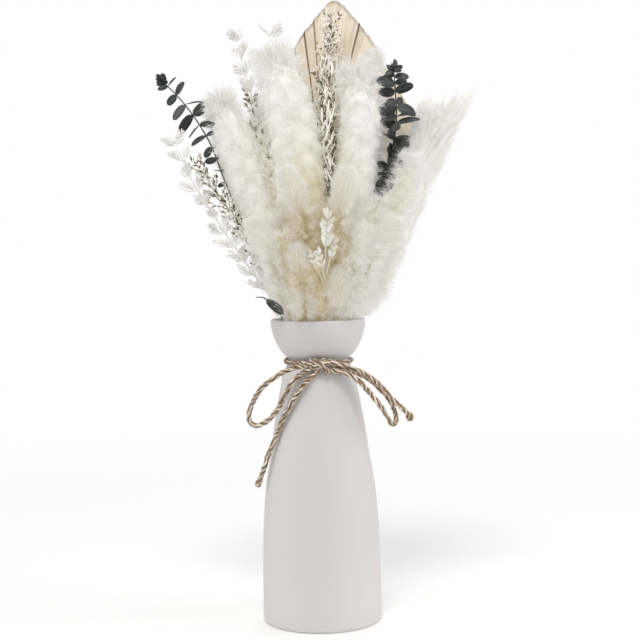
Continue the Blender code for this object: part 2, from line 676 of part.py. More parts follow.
def make_bunny_tails(stems, chosen, head_material, stem_material):
    for index in BUNNY_TAILS:
        own = chosen[f"bunny_tail_{index}"]
        line = head_line(own, own.foot + GAP / MM, 31)
        line = read_evenly(line[:round(31 * BUNNY_CORE_LENGTH)], 6)
        share = np.linspace(0.0, 1.0, len(line))
        oval = np.sqrt(1 - (2 * share - 1.0) ** 2 * 0.88)
        radii = core_radii(line, BUNNY_REACH * BUNNY_CORE * oval, own, stems)
        core = tube_mesh(own.name, line, radii, BUNNY_SIDES)
        spike = {"radius": 2.2, "longest": 9.0}
        awns = head_tufts(own, stems, line, radii, BUNNY_REACH * np.maximum(oval, 0.8), BUNNY_AWNS,
                          40.0, SEED + 40 + index, spike)
        fuse(own.name, core, awns, head_material)
        stem_tube(f"bunny_stem_{index}", own, own.foot, BUNNY_STEM_RADIUS, stem_material)


ROUND_LEAF = [(0.0, 0.1), (0.3, 0.44), (0.68, 0.46), (1.0, 0.0)]
LOBE_LEAF = [(0.0, 0.18), (0.66, 0.5), (1.0, 0.0)]


def leafy_core(own, radius, tip_radius):
    path = stem_path(own.line, 19.0)
    thin = np.interp(path[:, 2], (RIM_LEVEL + 20, path[-1, 2]), (radius, tip_radius))
    return tube_mesh(own.name, path, thin, 5)


def leaf_pairs(own, stems, pairs, start, length, width, outline, lean, seed):
    # Opposite leaves up the stem, each pair turned a quarter from the last, smaller towards the tip.
    draw = random.Random(seed)
    upper = head_line(own, RIM_LEVEL + 2.0, 60)
    directions, sides, others = frames_along(upper)
    leaves = []
    for index in range(pairs):
        share = start + (0.985 - start) * index / (pairs - 1)
        row = int(share * 59)
        size = length * (1.0 - 0.32 * share) * draw.uniform(0.9, 1.1)
        turn = index * math.pi / 2 + draw.uniform(-0.3, 0.3)
        for side in (0.0, math.pi):
            angle = turn + side
            out = sides[row] * math.cos(angle) + others[row] * math.sin(angle)
            way = unit(out + directions[row] / math.tan(math.radians(lean)))
            normal = unit(np.cross(way, np.cross(directions[row], out)) + 0.35 * directions[row])
            root = upper[row] + directions[row] * 1.2 * (1 if side else -1)
            taken = grow(root, root + way * size, own, stems, (1.0, 0.85, 0.7))
            if taken > 0.0:
                leaves.append(leaf_mesh("leaf", root, way, normal, size * taken, size * width, outline))
    return leaves


def end_leaf(own, length, width, outline):
    way = unit(own.line[-1] - own.line[-3])
    normal = unit(np.cross(way, (1.0, 0.0, 0.0)))
    return leaf_mesh("leaf", own.line[-1] - way * 1.5, way, normal, length, length * width, outline)


def make_eucalyptus(stems, chosen, material):
    for index, (key, branch) in enumerate(EUCALYPTUS.items()):
        own = chosen["eucalyptus_" + key]
        leaves = leaf_pairs(own, stems, branch["pairs"], branch["start"], 10.5, 0.86, ROUND_LEAF, 58.0,
                            SEED + 60 + index)
        leaves.append(end_leaf(own, 5.5, 0.9, ROUND_LEAF))
        fuse(own.name, leafy_core(own, 1.0, 0.7), leaves, material)


def make_bleached(stems, chosen, material):
    for index, (key, spray) in enumerate(BLEACHED.items()):
        own = chosen["bleached_" + key]
        leaves = leaf_pairs(own, stems, spray["pairs"], spray["start"], 8.6, 0.52, LOBE_LEAF, 46.0,
                            SEED + 70 + index)
        leaves.append(end_leaf(own, 5.0, 0.7, LOBE_LEAF))
        fuse(own.name, leafy_core(own, LEAFY_STEM_RADIUS, 0.6), leaves, material)


def make_caspia(stems, chosen, material):
    for index, (key, spray) in enumerate(CASPIA.items()):
        own = chosen["caspia_" + key]
        upper = head_line(own, RIM_LEVEL + 2.0, 40)
        first = int(spray["start"] * 39)
        part = upper[first:]
        reach = spray["reach"] * (1.0 - 0.45 * np.linspace(0.0, 1.0, len(part)))
        radii = np.full(len(part), LEAFY_STEM_RADIUS)
        spike = {"radius": 0.62, "longest": 14.0}
        sprigs = head_tufts(own, stems, part, radii, reach, spray["sprigs"], 40.0, SEED + 80 + index, spike)
        fuse(own.name, leafy_core(own, LEAFY_STEM_RADIUS, 0.6), sprigs, material)


def palm_point(angle, radius, lift):
    # A point of the blade, by its angle from the middle line, distance from the hub and lift off its plane.
    up, across, normal = palm_frame()
    a = math.radians(angle)
    flat = up * math.cos(a) + across * math.sin(a)
    return np.array(PALM_HUB) + flat * radius + normal * lift


def make_palm(own, material):
    # Rows of pleats: neighbouring rays stand before and behind the blade's plane by turns, more with their
    # distance from the hub. Both faces are split along the same diagonals.
    rays = 2 * PALM_PLEATS + 1
    angles = np.linspace(-PALM_SPREAD, PALM_SPREAD, rays)
    rows = (0.0, 1.0)
    half = PALM_THICKNESS / 2
    front, back = [], []
    for i, angle in enumerate(angles):
        pleat = 1 if i % 2 else -1
        trim = float(palm_trim(angle)) * (1.0 if i % 2 else 0.975)
        for share in rows:
            radius = PALM_ROOT + (trim - PALM_ROOT) * share
            lift = pleat * PALM_PLEAT_DEPTH * radius
            front.append(palm_point(angle, radius, lift + half))
            back.append(palm_point(angle, radius, lift - half))
    depth = len(rows)
    count = rays * depth
    faces = []
    for i in range(rays - 1):
        for j in range(depth - 1):
            a, b, c, d = i * depth + j, i * depth + j + 1, (i + 1) * depth + j + 1, (i + 1) * depth + j
            faces += [(a, b, c), (a, c, d), (count + a, count + c, count + b), (count + a, count + d, count + c)]
    edge = [i * depth for i in range(rays)] + [(rays - 1) * depth + j for j in range(1, depth)]
    edge += [i * depth + depth - 1 for i in range(rays - 2, -1, -1)] + [j for j in range(depth - 2, 0, -1)]
    for a, b in zip(edge, edge[1:] + edge[:1]):
        faces.append((a, b, count + b, count + a))
    blade = build_mesh("palm_spear", np.array(front + back) * MM, faces)
    outward(blade)
    path = stem_path(own.line, 18.0)
    radii = np.interp(np.arange(len(path)), (0, len(path) - 3, len(path) - 1), (1.0, 1.0, 0.55))
    petiole = tube_mesh("petiole", path, radii * PALM_PETIOLE_RADIUS, 7)
    fuse("palm_spear", blade, [petiole, palm_heart()], material)


def palm_heart():
    # The wedge where the pleats run together, which closes the gap between the blade's root and the hub.
    middle = np.linspace(PALM_ROOT - 9.0, PALM_ROOT + 5.0, 4)
    line = [palm_point(0.0, radius, 0.0) for radius in middle]
    heart = tube_mesh("heart", line, (2.0, 3.6, 3.4, 1.2), 8)
    return heart


def bouquet_stems():
    # Every stem with its route, what is solid along it and how far it reaches.
    stems = []
    for key, plume in PLUMES.items():
        stems.append(Stem("plume_" + key, plume["route"], PLUME_STEM_RADIUS, plume["reach"]))
    for index, tail in BUNNY_TAILS.items():
        foot, tip = np.array(tail["foot"], float), np.array(tail["tip"], float)
        route = [foot - (tip - foot) * 0.25, foot, (foot + tip) / 2, tip]
        stems.append(Stem(f"bunny_tail_{index}", route, BUNNY_STEM_RADIUS, BUNNY_REACH))
    for key, branch in EUCALYPTUS.items():
        stems.append(Stem("eucalyptus_" + key, branch["route"], 1.0, 8.5))
    for key, spray in BLEACHED.items():
        stems.append(Stem("bleached_" + key, spray["route"], LEAFY_STEM_RADIUS, 7.0))
    for key, spray in CASPIA.items():
        stems.append(Stem("caspia_" + key, spray["route"], LEAFY_STEM_RADIUS, spray["reach"]))
    stems.append(Stem("palm_spear", PALM_ROUTE, PALM_PETIOLE_RADIUS, PALM_PETIOLE_RADIUS))
    return stems


def settle_cells(stems):
    # Gives each stem the height where its head begins, and its reach from there up.
    for stem in stems:
        heights = stem.line[:, 2]
        if stem.name.startswith("bunny"):
            stem.foot = BUNNY_TAILS[int(stem.name.split("_")[-1])]["foot"][2]
            stem.cell = np.where(heights >= stem.foot - 4.0, stem.reach, stem.radius)
        elif stem.name.startswith("plume"):
            stem.foot = RIM_LEVEL + 1.5
            share = np.clip((heights - stem.foot) / (heights[-1] - stem.foot), 0.0, 1.0)
            plume = PLUMES[stem.name.removeprefix("plume_")]
            stem.cell = np.where(heights >= stem.foot - 3.0, stem.reach * dome(share, plume["taper"]),
                                 stem.radius)
        elif stem.name != "palm_spear":
            stem.cell = np.interp(heights, (RIM_LEVEL, RIM_LEVEL + 45.0), (stem.radius, stem.reach))


def main():
    clear_scene()
    materials = {name: make_material(name) for name in COLOURS}
    make_vase(materials["ceramic"])
    make_twine_band(materials["jute"])
    for name in TWINE_ROUTES:
        make_cord(name, materials["jute"])
    stems = bouquet_stems()
    stand_stems(stems)
    settle_cells(stems)
    chosen = {stem.name: stem for stem in stems}
    make_palm(chosen["palm_spear"], materials["palm"])
    make_plumes(stems, chosen, materials["pampas"], materials["straw"])
    make_bunny_tails(stems, chosen, materials["bunny"], materials["straw"])
    make_eucalyptus(stems, chosen, materials["eucalyptus"])
    make_bleached(stems, chosen, materials["bleached"])
    make_caspia(stems, chosen, materials["caspia"])


main()
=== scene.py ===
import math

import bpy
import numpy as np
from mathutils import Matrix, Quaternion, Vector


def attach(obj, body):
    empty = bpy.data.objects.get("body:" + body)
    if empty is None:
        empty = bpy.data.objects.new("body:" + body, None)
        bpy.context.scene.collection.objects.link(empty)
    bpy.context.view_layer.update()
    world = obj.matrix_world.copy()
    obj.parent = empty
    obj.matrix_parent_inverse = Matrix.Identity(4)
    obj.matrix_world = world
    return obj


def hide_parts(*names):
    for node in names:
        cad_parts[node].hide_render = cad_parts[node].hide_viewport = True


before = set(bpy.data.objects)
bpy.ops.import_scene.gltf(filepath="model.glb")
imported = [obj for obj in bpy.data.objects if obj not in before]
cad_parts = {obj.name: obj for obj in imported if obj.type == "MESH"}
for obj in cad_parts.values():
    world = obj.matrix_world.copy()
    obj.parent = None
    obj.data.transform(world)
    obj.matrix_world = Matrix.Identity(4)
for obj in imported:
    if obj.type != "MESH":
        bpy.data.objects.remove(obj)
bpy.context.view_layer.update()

# Looks for a ceramic vase that holds a dried bouquet, tied round its neck with jute twine. Every place is in
# millimetres until putMesh writes it, in the frame of the part: +Z up, the bow towards -Y. A surface is its
# points, its four-sided faces, its triangles and the look of each point: its tone, how far along or out it
# lies, and how far across.

mm = 0.001
goldenAngle = math.radians(137.508)
scene = bpy.context.scene


# Nodes and objects

def addNode(tree, kind, inputs=None, **settings):
    # Adds a shader node. An input is a socket to link, or else a value; a colour gets its alpha here.
    made = tree.nodes.new("ShaderNode" + kind)
    for key, value in settings.items():
        setattr(made, key, value)
    for key, value in (inputs or {}).items():
        socket = made.inputs[key]
        if isinstance(value, bpy.types.NodeSocket):
            tree.links.new(value, socket)
        else:
            socket.default_value = (*value, 1) if socket.type == "RGBA" else value
    return made


def placed(name, data):
    made = bpy.data.objects.new(name, data)
    scene.collection.objects.link(made)
    return made


# Camera, light and floor

studio = {
    "camera": (0, -890, 255), "aim": (1.4, 0, 199.7), "lens": 75.85, "sensor": 36, "roll": -0.94,
    "clip": (0.01, 50), "backdrop": (1, 1, 1), "ambient": (0.97, 0.985, 1), "ambientStrength": 0.5,
    "bounces": 8,  # light goes from hair to hair many times in the fluff
    # name: (place, aim, size across, watts, colour)
    "lights": {
        "key": ((-90, -620, 1250), (0, 0, 230), 380, 6.4, (1, 0.985, 0.965)),
        "leftFill": ((-1150, -200, 520), (0, 0, 230), 900, 3.2, (1, 0.99, 0.98)),
        "rightFill": ((1150, -200, 520), (0, 0, 230), 900, 5.2, (1, 0.995, 0.99)),
        "rim": ((60, 900, 950), (0, 0, 260), 800, 3, (1, 1, 1)),
    },
    "floorRadius": 900, "floorSolid": 240, "floorSides": 96, "floorColour": (0.93, 0.93, 0.925),
    "floorGlow": 0.06,
}


def stand(thing, place, way, roll=0):
    # Puts a camera or a lamp at its place, looking along the way.
    thing.location, thing.rotation_mode = Vector(place) * mm, "QUATERNION"
    thing.rotation_quaternion = way.to_track_quat("-Z", "Y") @ Quaternion((0, 0, 1), math.radians(roll))


def standCamera():
    camera = scene.camera = placed("camera", bpy.data.cameras.new("camera"))
    place, aim = Vector(studio["camera"]) * mm, Vector(studio["aim"]) * mm
    stand(camera, studio["camera"], aim - place, studio["roll"])
    camera.data.lens, camera.data.sensor_width = studio["lens"], studio["sensor"]
    camera.data.clip_start, camera.data.clip_end = studio["clip"]


def hangLights():
    for name, (place, aim, size, watts, colour) in studio["lights"].items():
        lamp = bpy.data.lights.new(name, "AREA")
        lamp.shape, lamp.size, lamp.energy, lamp.color = "DISK", size * mm, watts, colour
        stand(placed(name, lamp), place, Vector(aim) - Vector(place))
    scene.world = bpy.data.worlds.new("studio")
    scene.world.use_nodes = True
    tree = scene.world.node_tree
    ambient = tree.nodes["Background"]
    ambient.inputs["Color"].default_value = (*studio["ambient"], 1)
    ambient.inputs["Strength"].default_value = studio["ambientStrength"]
    backdrop = addNode(tree, "Background", {"Color": studio["backdrop"]})
    seen = addNode(tree, "LightPath").outputs["Is Camera Ray"]
    choice = addNode(tree, "MixShader", {0: seen, 1: ambient.outputs[0], 2: backdrop.outputs[0]})
    tree.links.new(choice.outputs[0], tree.nodes["World Output"].inputs["Surface"])
    scene.view_settings.view_transform = "Standard"
    scene.cycles.diffuse_bounces = studio["bounces"]


standCamera()
hangLights()
print("camera and lights stand")


# Lines, surfaces and meshes

def unit(vectors):
    # Each vector over its length.
    return vectors / np.maximum(np.linalg.norm(vectors, axis=-1, keepdims=True), 1e-9)


def layers(*parts):
    # Numbers or arrays spread to one shape and laid side by side along a last axis.
    return np.stack(np.broadcast_arrays(*parts), axis=-1)


def evenTurns(count):
    # Angles evenly round a turn: 2 * pi * i / count.
    return np.arange(count) * 2 * math.pi / count


def circle(angle):
    # (cos, sin) of each angle.
    return np.stack([np.cos(angle), np.sin(angle)], axis=-1)


def between(first, second, angle):
    # The direction at an angle from the first towards the second: first * cos angle + second * sin angle.
    return first * np.cos(angle) + second * np.sin(angle)


def lengthAlong(line):
    # How far along the line each of its points lies, as the sum of the steps up to it.
    return np.concatenate([[0.0], np.cumsum(np.linalg.norm(np.diff(line, axis=0), axis=1))])


def readAt(rows, places, run):
    # Reads each column of rows, known at the lengths run, at other places.
    return np.stack([np.interp(places, run, column) for column in np.asarray(rows).T], axis=-1)


def readEvenly(line, count):
    # The same line with its points at even lengths.
    run = lengthAlong(line)
    return readAt(line, np.linspace(0, 1, count) * run[-1], run)


def smoothLine(points, count):
    # A cubic through the points with slopes from their neighbours, read again at even lengths.
    points = np.asarray(points, float)
    chord = lengthAlong(points)
    slope = np.gradient(points, chord, axis=0)
    at = np.linspace(0, chord[-1], 60 * len(points))
    piece = np.clip(np.searchsorted(chord, at, side="right") - 1, 0, len(points) - 2)
    span = (chord[piece + 1] - chord[piece])[:, None]
    t = (at - chord[piece])[:, None] / span
    line = ((2 * t ** 3 - 3 * t ** 2 + 1) * points[piece] + (t ** 3 - 2 * t ** 2 + t) * span * slope[piece]
            + (3 * t ** 2 - 2 * t ** 3) * points[piece + 1] + (t ** 3 - t ** 2) * span * slope[piece + 1])
    return readEvenly(line, count)


def framesAlong(line):
    # Direction and two sides at each point. The sides start square to +Y, then are turned back by the running
    # sum of their own twist, so that they don't roll about the line.
    way = unit(np.gradient(line, axis=0))
    side = unit(np.cross(way, (0, 1, 0)))
    other = np.cross(way, side)
    twist = (np.diff(side, axis=0) * (other[1:] + other[:-1]) / 2).sum(axis=1)
    turn = -np.concatenate([[0.0], np.cumsum(twist)])[:, None]
    return way, between(side, other, turn), between(other, -side, turn)


def offLine(line, at, angle):
    # At lengths along a line: its place, its direction, and the way that stands off it at an angle round it.
    run = lengthAlong(line)
    place, way, side, other = (readAt(rows, at, run) for rows in (line, *framesAlong(line)))
    return place, way, between(side, other, angle)


def gridQuads(rows, columns, closed=True):
    # Four-sided faces of a grid of points stored row after row. closed joins each row's end to its start.
    i, j = np.meshgrid(np.arange(rows - 1), np.arange(columns if closed else columns - 1), indexing="ij")
    here, beside = i * columns + j, i * columns + (j + 1) % columns
    return np.stack([here, beside, beside + columns, here + columns], axis=-1).reshape(-1, 4)


def poleTris(rows, columns):
    # Fans that close a tube's first and last ring on the two points stored after the grid.
    j = np.arange(columns)
    beside, last, pole = (j + 1) % columns, (rows - 1) * columns, rows * columns
    return np.concatenate([layers(pole, beside, j), layers(pole + 1, last + j, last + beside)])


def carried(line, profile, look):
    # A closed profile carried along a line: point(i, j) = line(i) + side(i) * x(i, j) + other(i) * y(i, j),
    # closed with a pole at each end. profile is (rows, columns, 2).
    rows, columns = profile.shape[:2]
    _, side, other = framesAlong(line)
    points = line[:, None] + side[:, None] * profile[..., :1] + other[:, None] * profile[..., 1:]
    return (np.concatenate([points.reshape(-1, 3), line[:1], line[-1:]]), gridQuads(rows, columns),
            poleTris(rows, columns), np.concatenate([look.reshape(-1, 3), look[0, :1], look[-1, :1]]))


def roundTube(line, radii, sides, tone=0.5):
    # A plain round tube: the profile is a circle of the radius at each point.
    look = layers(np.linspace(0, 1, len(line))[:, None], np.linspace(0, 1, sides), tone)
    return carried(line, circle(evenTurns(sides)) * np.broadcast_to(radii, len(line))[:, None, None], look)


def putMesh(name, parts, finish, *replaced):
    # Joins surfaces into one mesh, with each one's point numbers raised by what comes before it, writes their
    # look into an attribute and lets the piece ride on the part.
    before = np.cumsum([0] + [len(part[0]) for part in parts])
    points, look = (np.concatenate([part[i] for part in parts]) for i in (0, 3))
    quads, tris = (np.concatenate([part[i] + n for part, n in zip(parts, before)]) for i in (1, 2))
    corners = np.concatenate([quads.ravel(), tris.ravel()]).astype(np.int32)
    sizes = np.repeat([4, 3], [len(quads), len(tris)])
    mesh = bpy.data.meshes.new(name)
    mesh.vertices.add(len(points))
    mesh.vertices.foreach_set("co", (points * mm).astype(np.float32).ravel())
    mesh.loops.add(len(corners))
    mesh.loops.foreach_set("vertex_index", corners)
    mesh.polygons.add(len(sizes))
    mesh.polygons.foreach_set("loop_start", (np.cumsum(sizes) - sizes).astype(np.int32))
    mesh.polygons.foreach_set("use_smooth", np.full(len(sizes), True))
    attribute = mesh.attributes.new("look", "FLOAT_VECTOR", "POINT")
    attribute.data.foreach_set("vector", look.astype(np.float32).ravel())
    mesh.update(calc_edges=True)
    mesh.materials.append(finishes[finish])
    piece = placed(name, mesh)
    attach(piece, "root")
    slots.get(finish, finish)
    if replaced:
        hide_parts(*replaced)
    return piece


def nodePoints(name):
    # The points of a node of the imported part, in millimetres.
    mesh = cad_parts[name].data
    points = np.zeros(len(mesh.vertices) * 3, np.float32)
    mesh.vertices.foreach_get("co", points)
    return points.reshape(-1, 3).astype(float) / mm


# Shader groups and materials

def newGroup(name, inputs, outputs):
    # A shader group with named sockets. An input says its starting number, or else its kind of socket.
    group = bpy.data.node_groups.new(name, "ShaderNodeTree")
    for label, value in inputs.items():
        kind = value if isinstance(value, str) else "Float"
        socket = group.interface.new_socket(name=label, in_out="INPUT", socket_type="NodeSocket" + kind)
        if kind == "Float":
            socket.default_value = value
    for label, kind in outputs.items():
        group.interface.new_socket(name=label, in_out="OUTPUT", socket_type="NodeSocket" + kind)
    return group, group.nodes.new("NodeGroupInput").outputs, group.nodes.new("NodeGroupOutput").inputs


def mottleGroup():
    # Soft noise stretched to run from Low to High.
    group, given, result = newGroup("mottle", {"Vector": "Vector", "Scale": 100, "Detail": 4, "Low": 0, "High": 1},
                                    {"Value": "Float"})
    noise = addNode(group, "TexNoise", {key: given[key] for key in ("Vector", "Scale", "Detail")})
    spread = addNode(group, "MapRange", {0: noise.outputs[0], 1: 0.3, 2: 0.7, 3: given["Low"], 4: given["High"]})
    group.links.new(spread.outputs[0], result["Value"])
    return group


def threeToneGroup():
    # Deep, middle and light colours laid along Value, with each strand's own tone pushing it up or down.
    group, given, result = newGroup("threeTone", {"Value": 0.5, "Tone": 0.5, "Spread": 0.2, "Deep": "Color",
                                                  "Middle": "Color", "Light": "Color"}, {"Color": "Color"})
    centred = addNode(group, "Math", {0: given["Tone"], 1: 0.5}, operation="SUBTRACT").outputs[0]
    pushed = addNode(group, "Math", {0: centred, 1: given["Spread"], 2: given["Value"]}, operation="MULTIPLY_ADD")
    colour = given["Deep"]
    for low, label in ((0, "Middle"), (0.5, "Light")):
        share = addNode(group, "MapRange", {0: pushed.outputs[0], 1: low, 2: low + 0.5}).outputs[0]
        colour = addNode(group, "Mix", {0: share, 6: colour, 7: given[label]}, data_type="RGBA").outputs[2]
    group.links.new(colour, result["Color"])
    return group


def lookGroup():
    # The piece's own attribute: its strand or leaf tone, how far along or out a point lies, and across.
    labels = ("Tone", "Along", "Across")
    group, _, result = newGroup("lookOf", {}, {**dict.fromkeys(labels, "Float"), "Vector": "Vector"})
    vector = addNode(group, "Attribute", attribute_name="look").outputs["Vector"]
    parts = addNode(group, "SeparateXYZ", {0: vector})
    for output, label in zip(parts.outputs, labels):
        group.links.new(output, result[label])
    group.links.new(vector, result["Vector"])
    return group


groups = {"mottle": mottleGroup(), "threeTone": threeToneGroup(), "lookOf": lookGroup()}


class Finish:
    # A material being put together: short calls that add nodes and return their first output.
    def __init__(self, name, roughness, **shader):
        self.material = bpy.data.materials.new(name)
        self.material.use_nodes = True
        self.tree = self.material.node_tree
        self.shader = self.tree.nodes["Principled BSDF"]
        for key, value in {"Roughness": roughness, **shader}.items():
            self.shader.inputs[key.replace("_", " ")].default_value = value
        self.place = addNode(self.tree, "TexCoord").outputs["Object"]
        given = addNode(self.tree, "Group", node_tree=groups["lookOf"]).outputs
        self.tone, self.along, self.across, self.look = given

    def mottle(self, scale, low=0, high=1, detail=4, vector=None):
        inputs = {"Vector": vector or self.place, "Scale": scale, "Detail": detail, "Low": low, "High": high}
        return addNode(self.tree, "Group", inputs, node_tree=groups["mottle"]).outputs[0]

    def streaks(self, vector, scale, detail):
        # Noise drawn out along the axes where the scale is small.
        drawnOut = addNode(self.tree, "Mapping", {"Vector": vector, "Scale": scale}).outputs[0]
        return self.mottle(1, detail=detail, vector=drawnOut)

    def tones(self, value, tone, spread, deep, middle, light):
        inputs = {"Value": value, "Tone": tone, "Spread": spread, "Deep": deep, "Middle": middle, "Light": light}
        return addNode(self.tree, "Group", inputs, node_tree=groups["threeTone"]).outputs[0]

    def sum(self, value, *others, operation="ADD"):
        for other in others:
            value = addNode(self.tree, "Math", {0: value, 1: other}, operation=operation).outputs[0]
        return value

    def times(self, value, share):
        return self.sum(value, share, operation="MULTIPLY")

    def mix(self, share, first, second):
        return addNode(self.tree, "Mix", {0: share, 6: first, 7: second}, data_type="RGBA").outputs[2]

    def range(self, value, low, high, toLow, toHigh, **settings):
        inputs = {0: value, 1: low, 2: high, 3: toLow, 4: toHigh}
        return addNode(self.tree, "MapRange", inputs, **settings).outputs[0]

    def done(self, colour, roughness=None, height=None, strength=0.5, distance=0.0002, glowing=False):
        # Links what is worked out into the shader. glowing makes the colour glow as well: painted light that
        # stands in for light shining through thin hairs and leaves.
        links = {"Base Color": colour, "Roughness": roughness, "Emission Color": colour if glowing else None}
        if height is not None:
            bump = addNode(self.tree, "Bump", {"Strength": strength, "Distance": distance, "Height": height})
            links["Normal"] = bump.outputs[0]
        for key, value in links.items():
            if value is not None:
                self.tree.links.new(value, self.shader.inputs[key])
        return self.material


def ceramicFinish():
    f = Finish("bisqueCeramic", 0.6, Specular_IOR_Level=0.35)
    colour = f.mix(f.mottle(14, detail=3), (0.665, 0.64, 0.63), (0.69, 0.67, 0.66))
    colour = f.mix(f.range(f.mottle(900, detail=1), 0.95, 1, 0, 0.3), colour, (0.56, 0.52, 0.49))  # specks
    turning = f.streaks(f.place, (6, 6, 420), 2)
    height = f.sum(f.times(f.mottle(2600, detail=2), 0.5), f.times(turning, 0.6))
    return f.done(colour, f.mottle(60, 0.52, 0.72), height, 0.16, 0.0003)


def juteFinish():
    # Fibres run along each ply: the noise is drawn out along the twine and fine round it.
    f = Finish("juteTwine", 0.92, Specular_IOR_Level=0.2, Sheen_Weight=0.15)
    fine, coarse = f.streaks(f.look, (40, 4, 1), 4), f.streaks(f.look, (13, 2.2, 1), 3)
    fibres = f.sum(f.times(fine, 0.35), f.times(coarse, 0.65))
    value = f.sum(f.range(fibres, 0.28, 0.72, -0.05, 1.1), f.mottle(330, -0.25, 0.25))
    # Across, 0 in the grooves between the plies and 1 on their crests, pushes the colour lighter on the crests, a
    # painted highlight; below, a painted dark shade is laid in the grooves.
    colour = f.tones(value, f.across, 0.25, (0.21, 0.13, 0.07), (0.64, 0.5, 0.36), (1, 0.91, 0.77))
    colour = f.mix(f.range(f.across, 0, 0.3, 0.75, 0), colour, (0.12, 0.07, 0.035))
    return f.done(colour, None, fibres, 0.8, 0.0004)


def fluffFinish(name, deep, middle, light, spread, selfGlow=0.1):
    # Along runs from 0 deep in the fluff to 1 at its outline: deep in, the colour goes to the darker, golden
    # deep colour, a painted shade.
    f = Finish(name, 0.9, Specular_IOR_Level=0.15, Sheen_Weight=0.25, Sheen_Roughness=0.5,
               Emission_Strength=selfGlow)
    value = f.sum(f.along, f.mottle(110, -0.06, 0.06, 3), f.mottle(1300, -0.06, 0.06, 2))
    return f.done(f.tones(value, f.tone, spread, deep, middle, light), glowing=True)


def strawFinish():
    f = Finish("strawStem", 0.6, Specular_IOR_Level=0.4)
    streaks = f.streaks(f.place, (900, 900, 40), 3)
    colour = f.tones(streaks, 0.5, 0, (0.46, 0.38, 0.22), (0.66, 0.58, 0.4), (0.8, 0.74, 0.58))
    return f.done(colour, f.mottle(120, 0.5, 0.75), streaks)


def palmFinish():
    # Across runs from 0 in a pleat's valley to 1 at two half widths from it, Along from the hub to the edge.
    f = Finish("driedPalm", 0.62, Specular_IOR_Level=0.35)
    veins = f.streaks(f.look, (160, 3, 6), 3)
    value = f.sum(f.range(veins, 0, 1, 0.25, 0.85), f.mottle(45, -0.22, 0.22))
    colour = f.tones(value, 0.5, 0, (0.72, 0.59, 0.42), (0.86, 0.76, 0.6), (0.93, 0.87, 0.75))
    # A painted highlight on the ridges beside each valley.
    beside = f.times(f.range(f.across, 0.3, 0.5, 0, 0.6), f.range(f.across, 0.6, 1, 1, 0))
    colour = f.mix(beside, colour, (1, 0.95, 0.85))
    # A painted dark shade in each valley.
    colour = f.mix(f.range(f.across, 0.08, 0.42, 0.95, 0), colour, (0.13, 0.075, 0.035))
    return f.done(colour, f.mottle(90, 0.5, 0.75), veins, 0.6, 0.0003)


def leafFinish(name, deep, middle, light, rib, edge, roughness, selfGlow=0):
    # Across is 0.5 on the midrib and 0 or 1 at the two edges of a leaf.
    f = Finish(name, roughness, Specular_IOR_Level=0.35, Emission_Strength=selfGlow)
    rough = f.mottle(700, detail=5)
    value = f.sum(f.range(rough, 0, 1, 0.3, 0.7), f.mottle(110, -0.2, 0.2))
    colour = f.tones(value, f.tone, 0.6, deep, middle, light)
    fromRib = f.sum(f.sum(f.across, 0.5, operation="SUBTRACT"), 0, operation="ABSOLUTE")
    colour = f.mix(f.range(fromRib, 0, 0.07, 0.55, 0), colour, rib)
    # A colour along the outline: a painted grey shade on the pale leaves, and a lighter rim on the eucalyptus.
    colour = f.mix(f.range(fromRib, 0.4, 0.5, 0, 0.6), colour, edge)
    veins = f.streaks(f.look, (0, 26, 9), 2)
    height = f.sum(veins, rough, f.range(fromRib, 0, 0.1, -1, 0))
    return f.done(colour, f.mottle(260, roughness - 0.1, roughness + 0.12), height, glowing=True)


def caspiaFinish():
    # Along runs from the dark twig to the pale tip of each floret.
    # Its emission is a painted glow of the florets' own colour.
    f = Finish("caspiaTwig", 0.8, Specular_IOR_Level=0.25, Emission_Strength=0.22)
    value = f.sum(f.times(f.along, 0.35), f.mottle(600, 0, 0.3))
    colour = f.tones(value, f.tone, 1.1, (0.075, 0.06, 0.035), (0.34, 0.28, 0.18), (0.95, 0.92, 0.86))
    return f.done(colour, None, f.mottle(1500), 0.4, 0.0001, True)


finishes = {
    "ceramic": ceramicFinish(), "jute": juteFinish(), "straw": strawFinish(), "palm": palmFinish(),
    # The number after a fluff finish's spread, and a leaf finish's last number, is the strength of its painted
    # glow.
    "pampas": fluffFinish("pampasFluff", (0.635, 0.55, 0.26), (0.8, 0.777, 0.712), (0.855, 0.846, 0.825), 0.16),
    "low": fluffFinish("lowFluff", (0.64, 0.54, 0.27), (0.8, 0.782, 0.735), (0.858, 0.85, 0.835), 0.18, 0.115),
    "streak": fluffFinish("pampasStreak", (0.7, 0.65, 0.55), (0.815, 0.797, 0.765), (0.875, 0.866, 0.85),
                          0.42, 0.13),
    "bunny": fluffFinish("bunnyFluff", (0.63, 0.52, 0.29), (0.81, 0.785, 0.72), (0.865, 0.858, 0.84), 0.16),
    "eucalyptus": leafFinish("eucalyptusLeaf", (0.022, 0.025, 0.024), (0.05, 0.055, 0.052), (0.1, 0.107, 0.1),
                             (0.17, 0.18, 0.165), (0.15, 0.16, 0.145), 0.5),
    "bleached": leafFinish("bleachedLeaf", (0.86, 0.84, 0.78), (0.93, 0.925, 0.905), (0.97, 0.97, 0.965),
                           (0.74, 0.71, 0.63), (0.62, 0.6, 0.55), 0.6, 0.08),
    "cream": leafFinish("creamLeaf", (0.82, 0.79, 0.7), (0.91, 0.89, 0.83), (0.96, 0.95, 0.92),
                        (0.6, 0.54, 0.42), (0.46, 0.41, 0.32), 0.6, 0.12),
    "caspia": caspiaFinish(),
}
slots = {"low": "pampas", "streak": "pampas", "cream": "bleached"}  # the slot each finish would have, another's named like its finish; putMesh looks it up and gives no slot
print("materials are mixed")


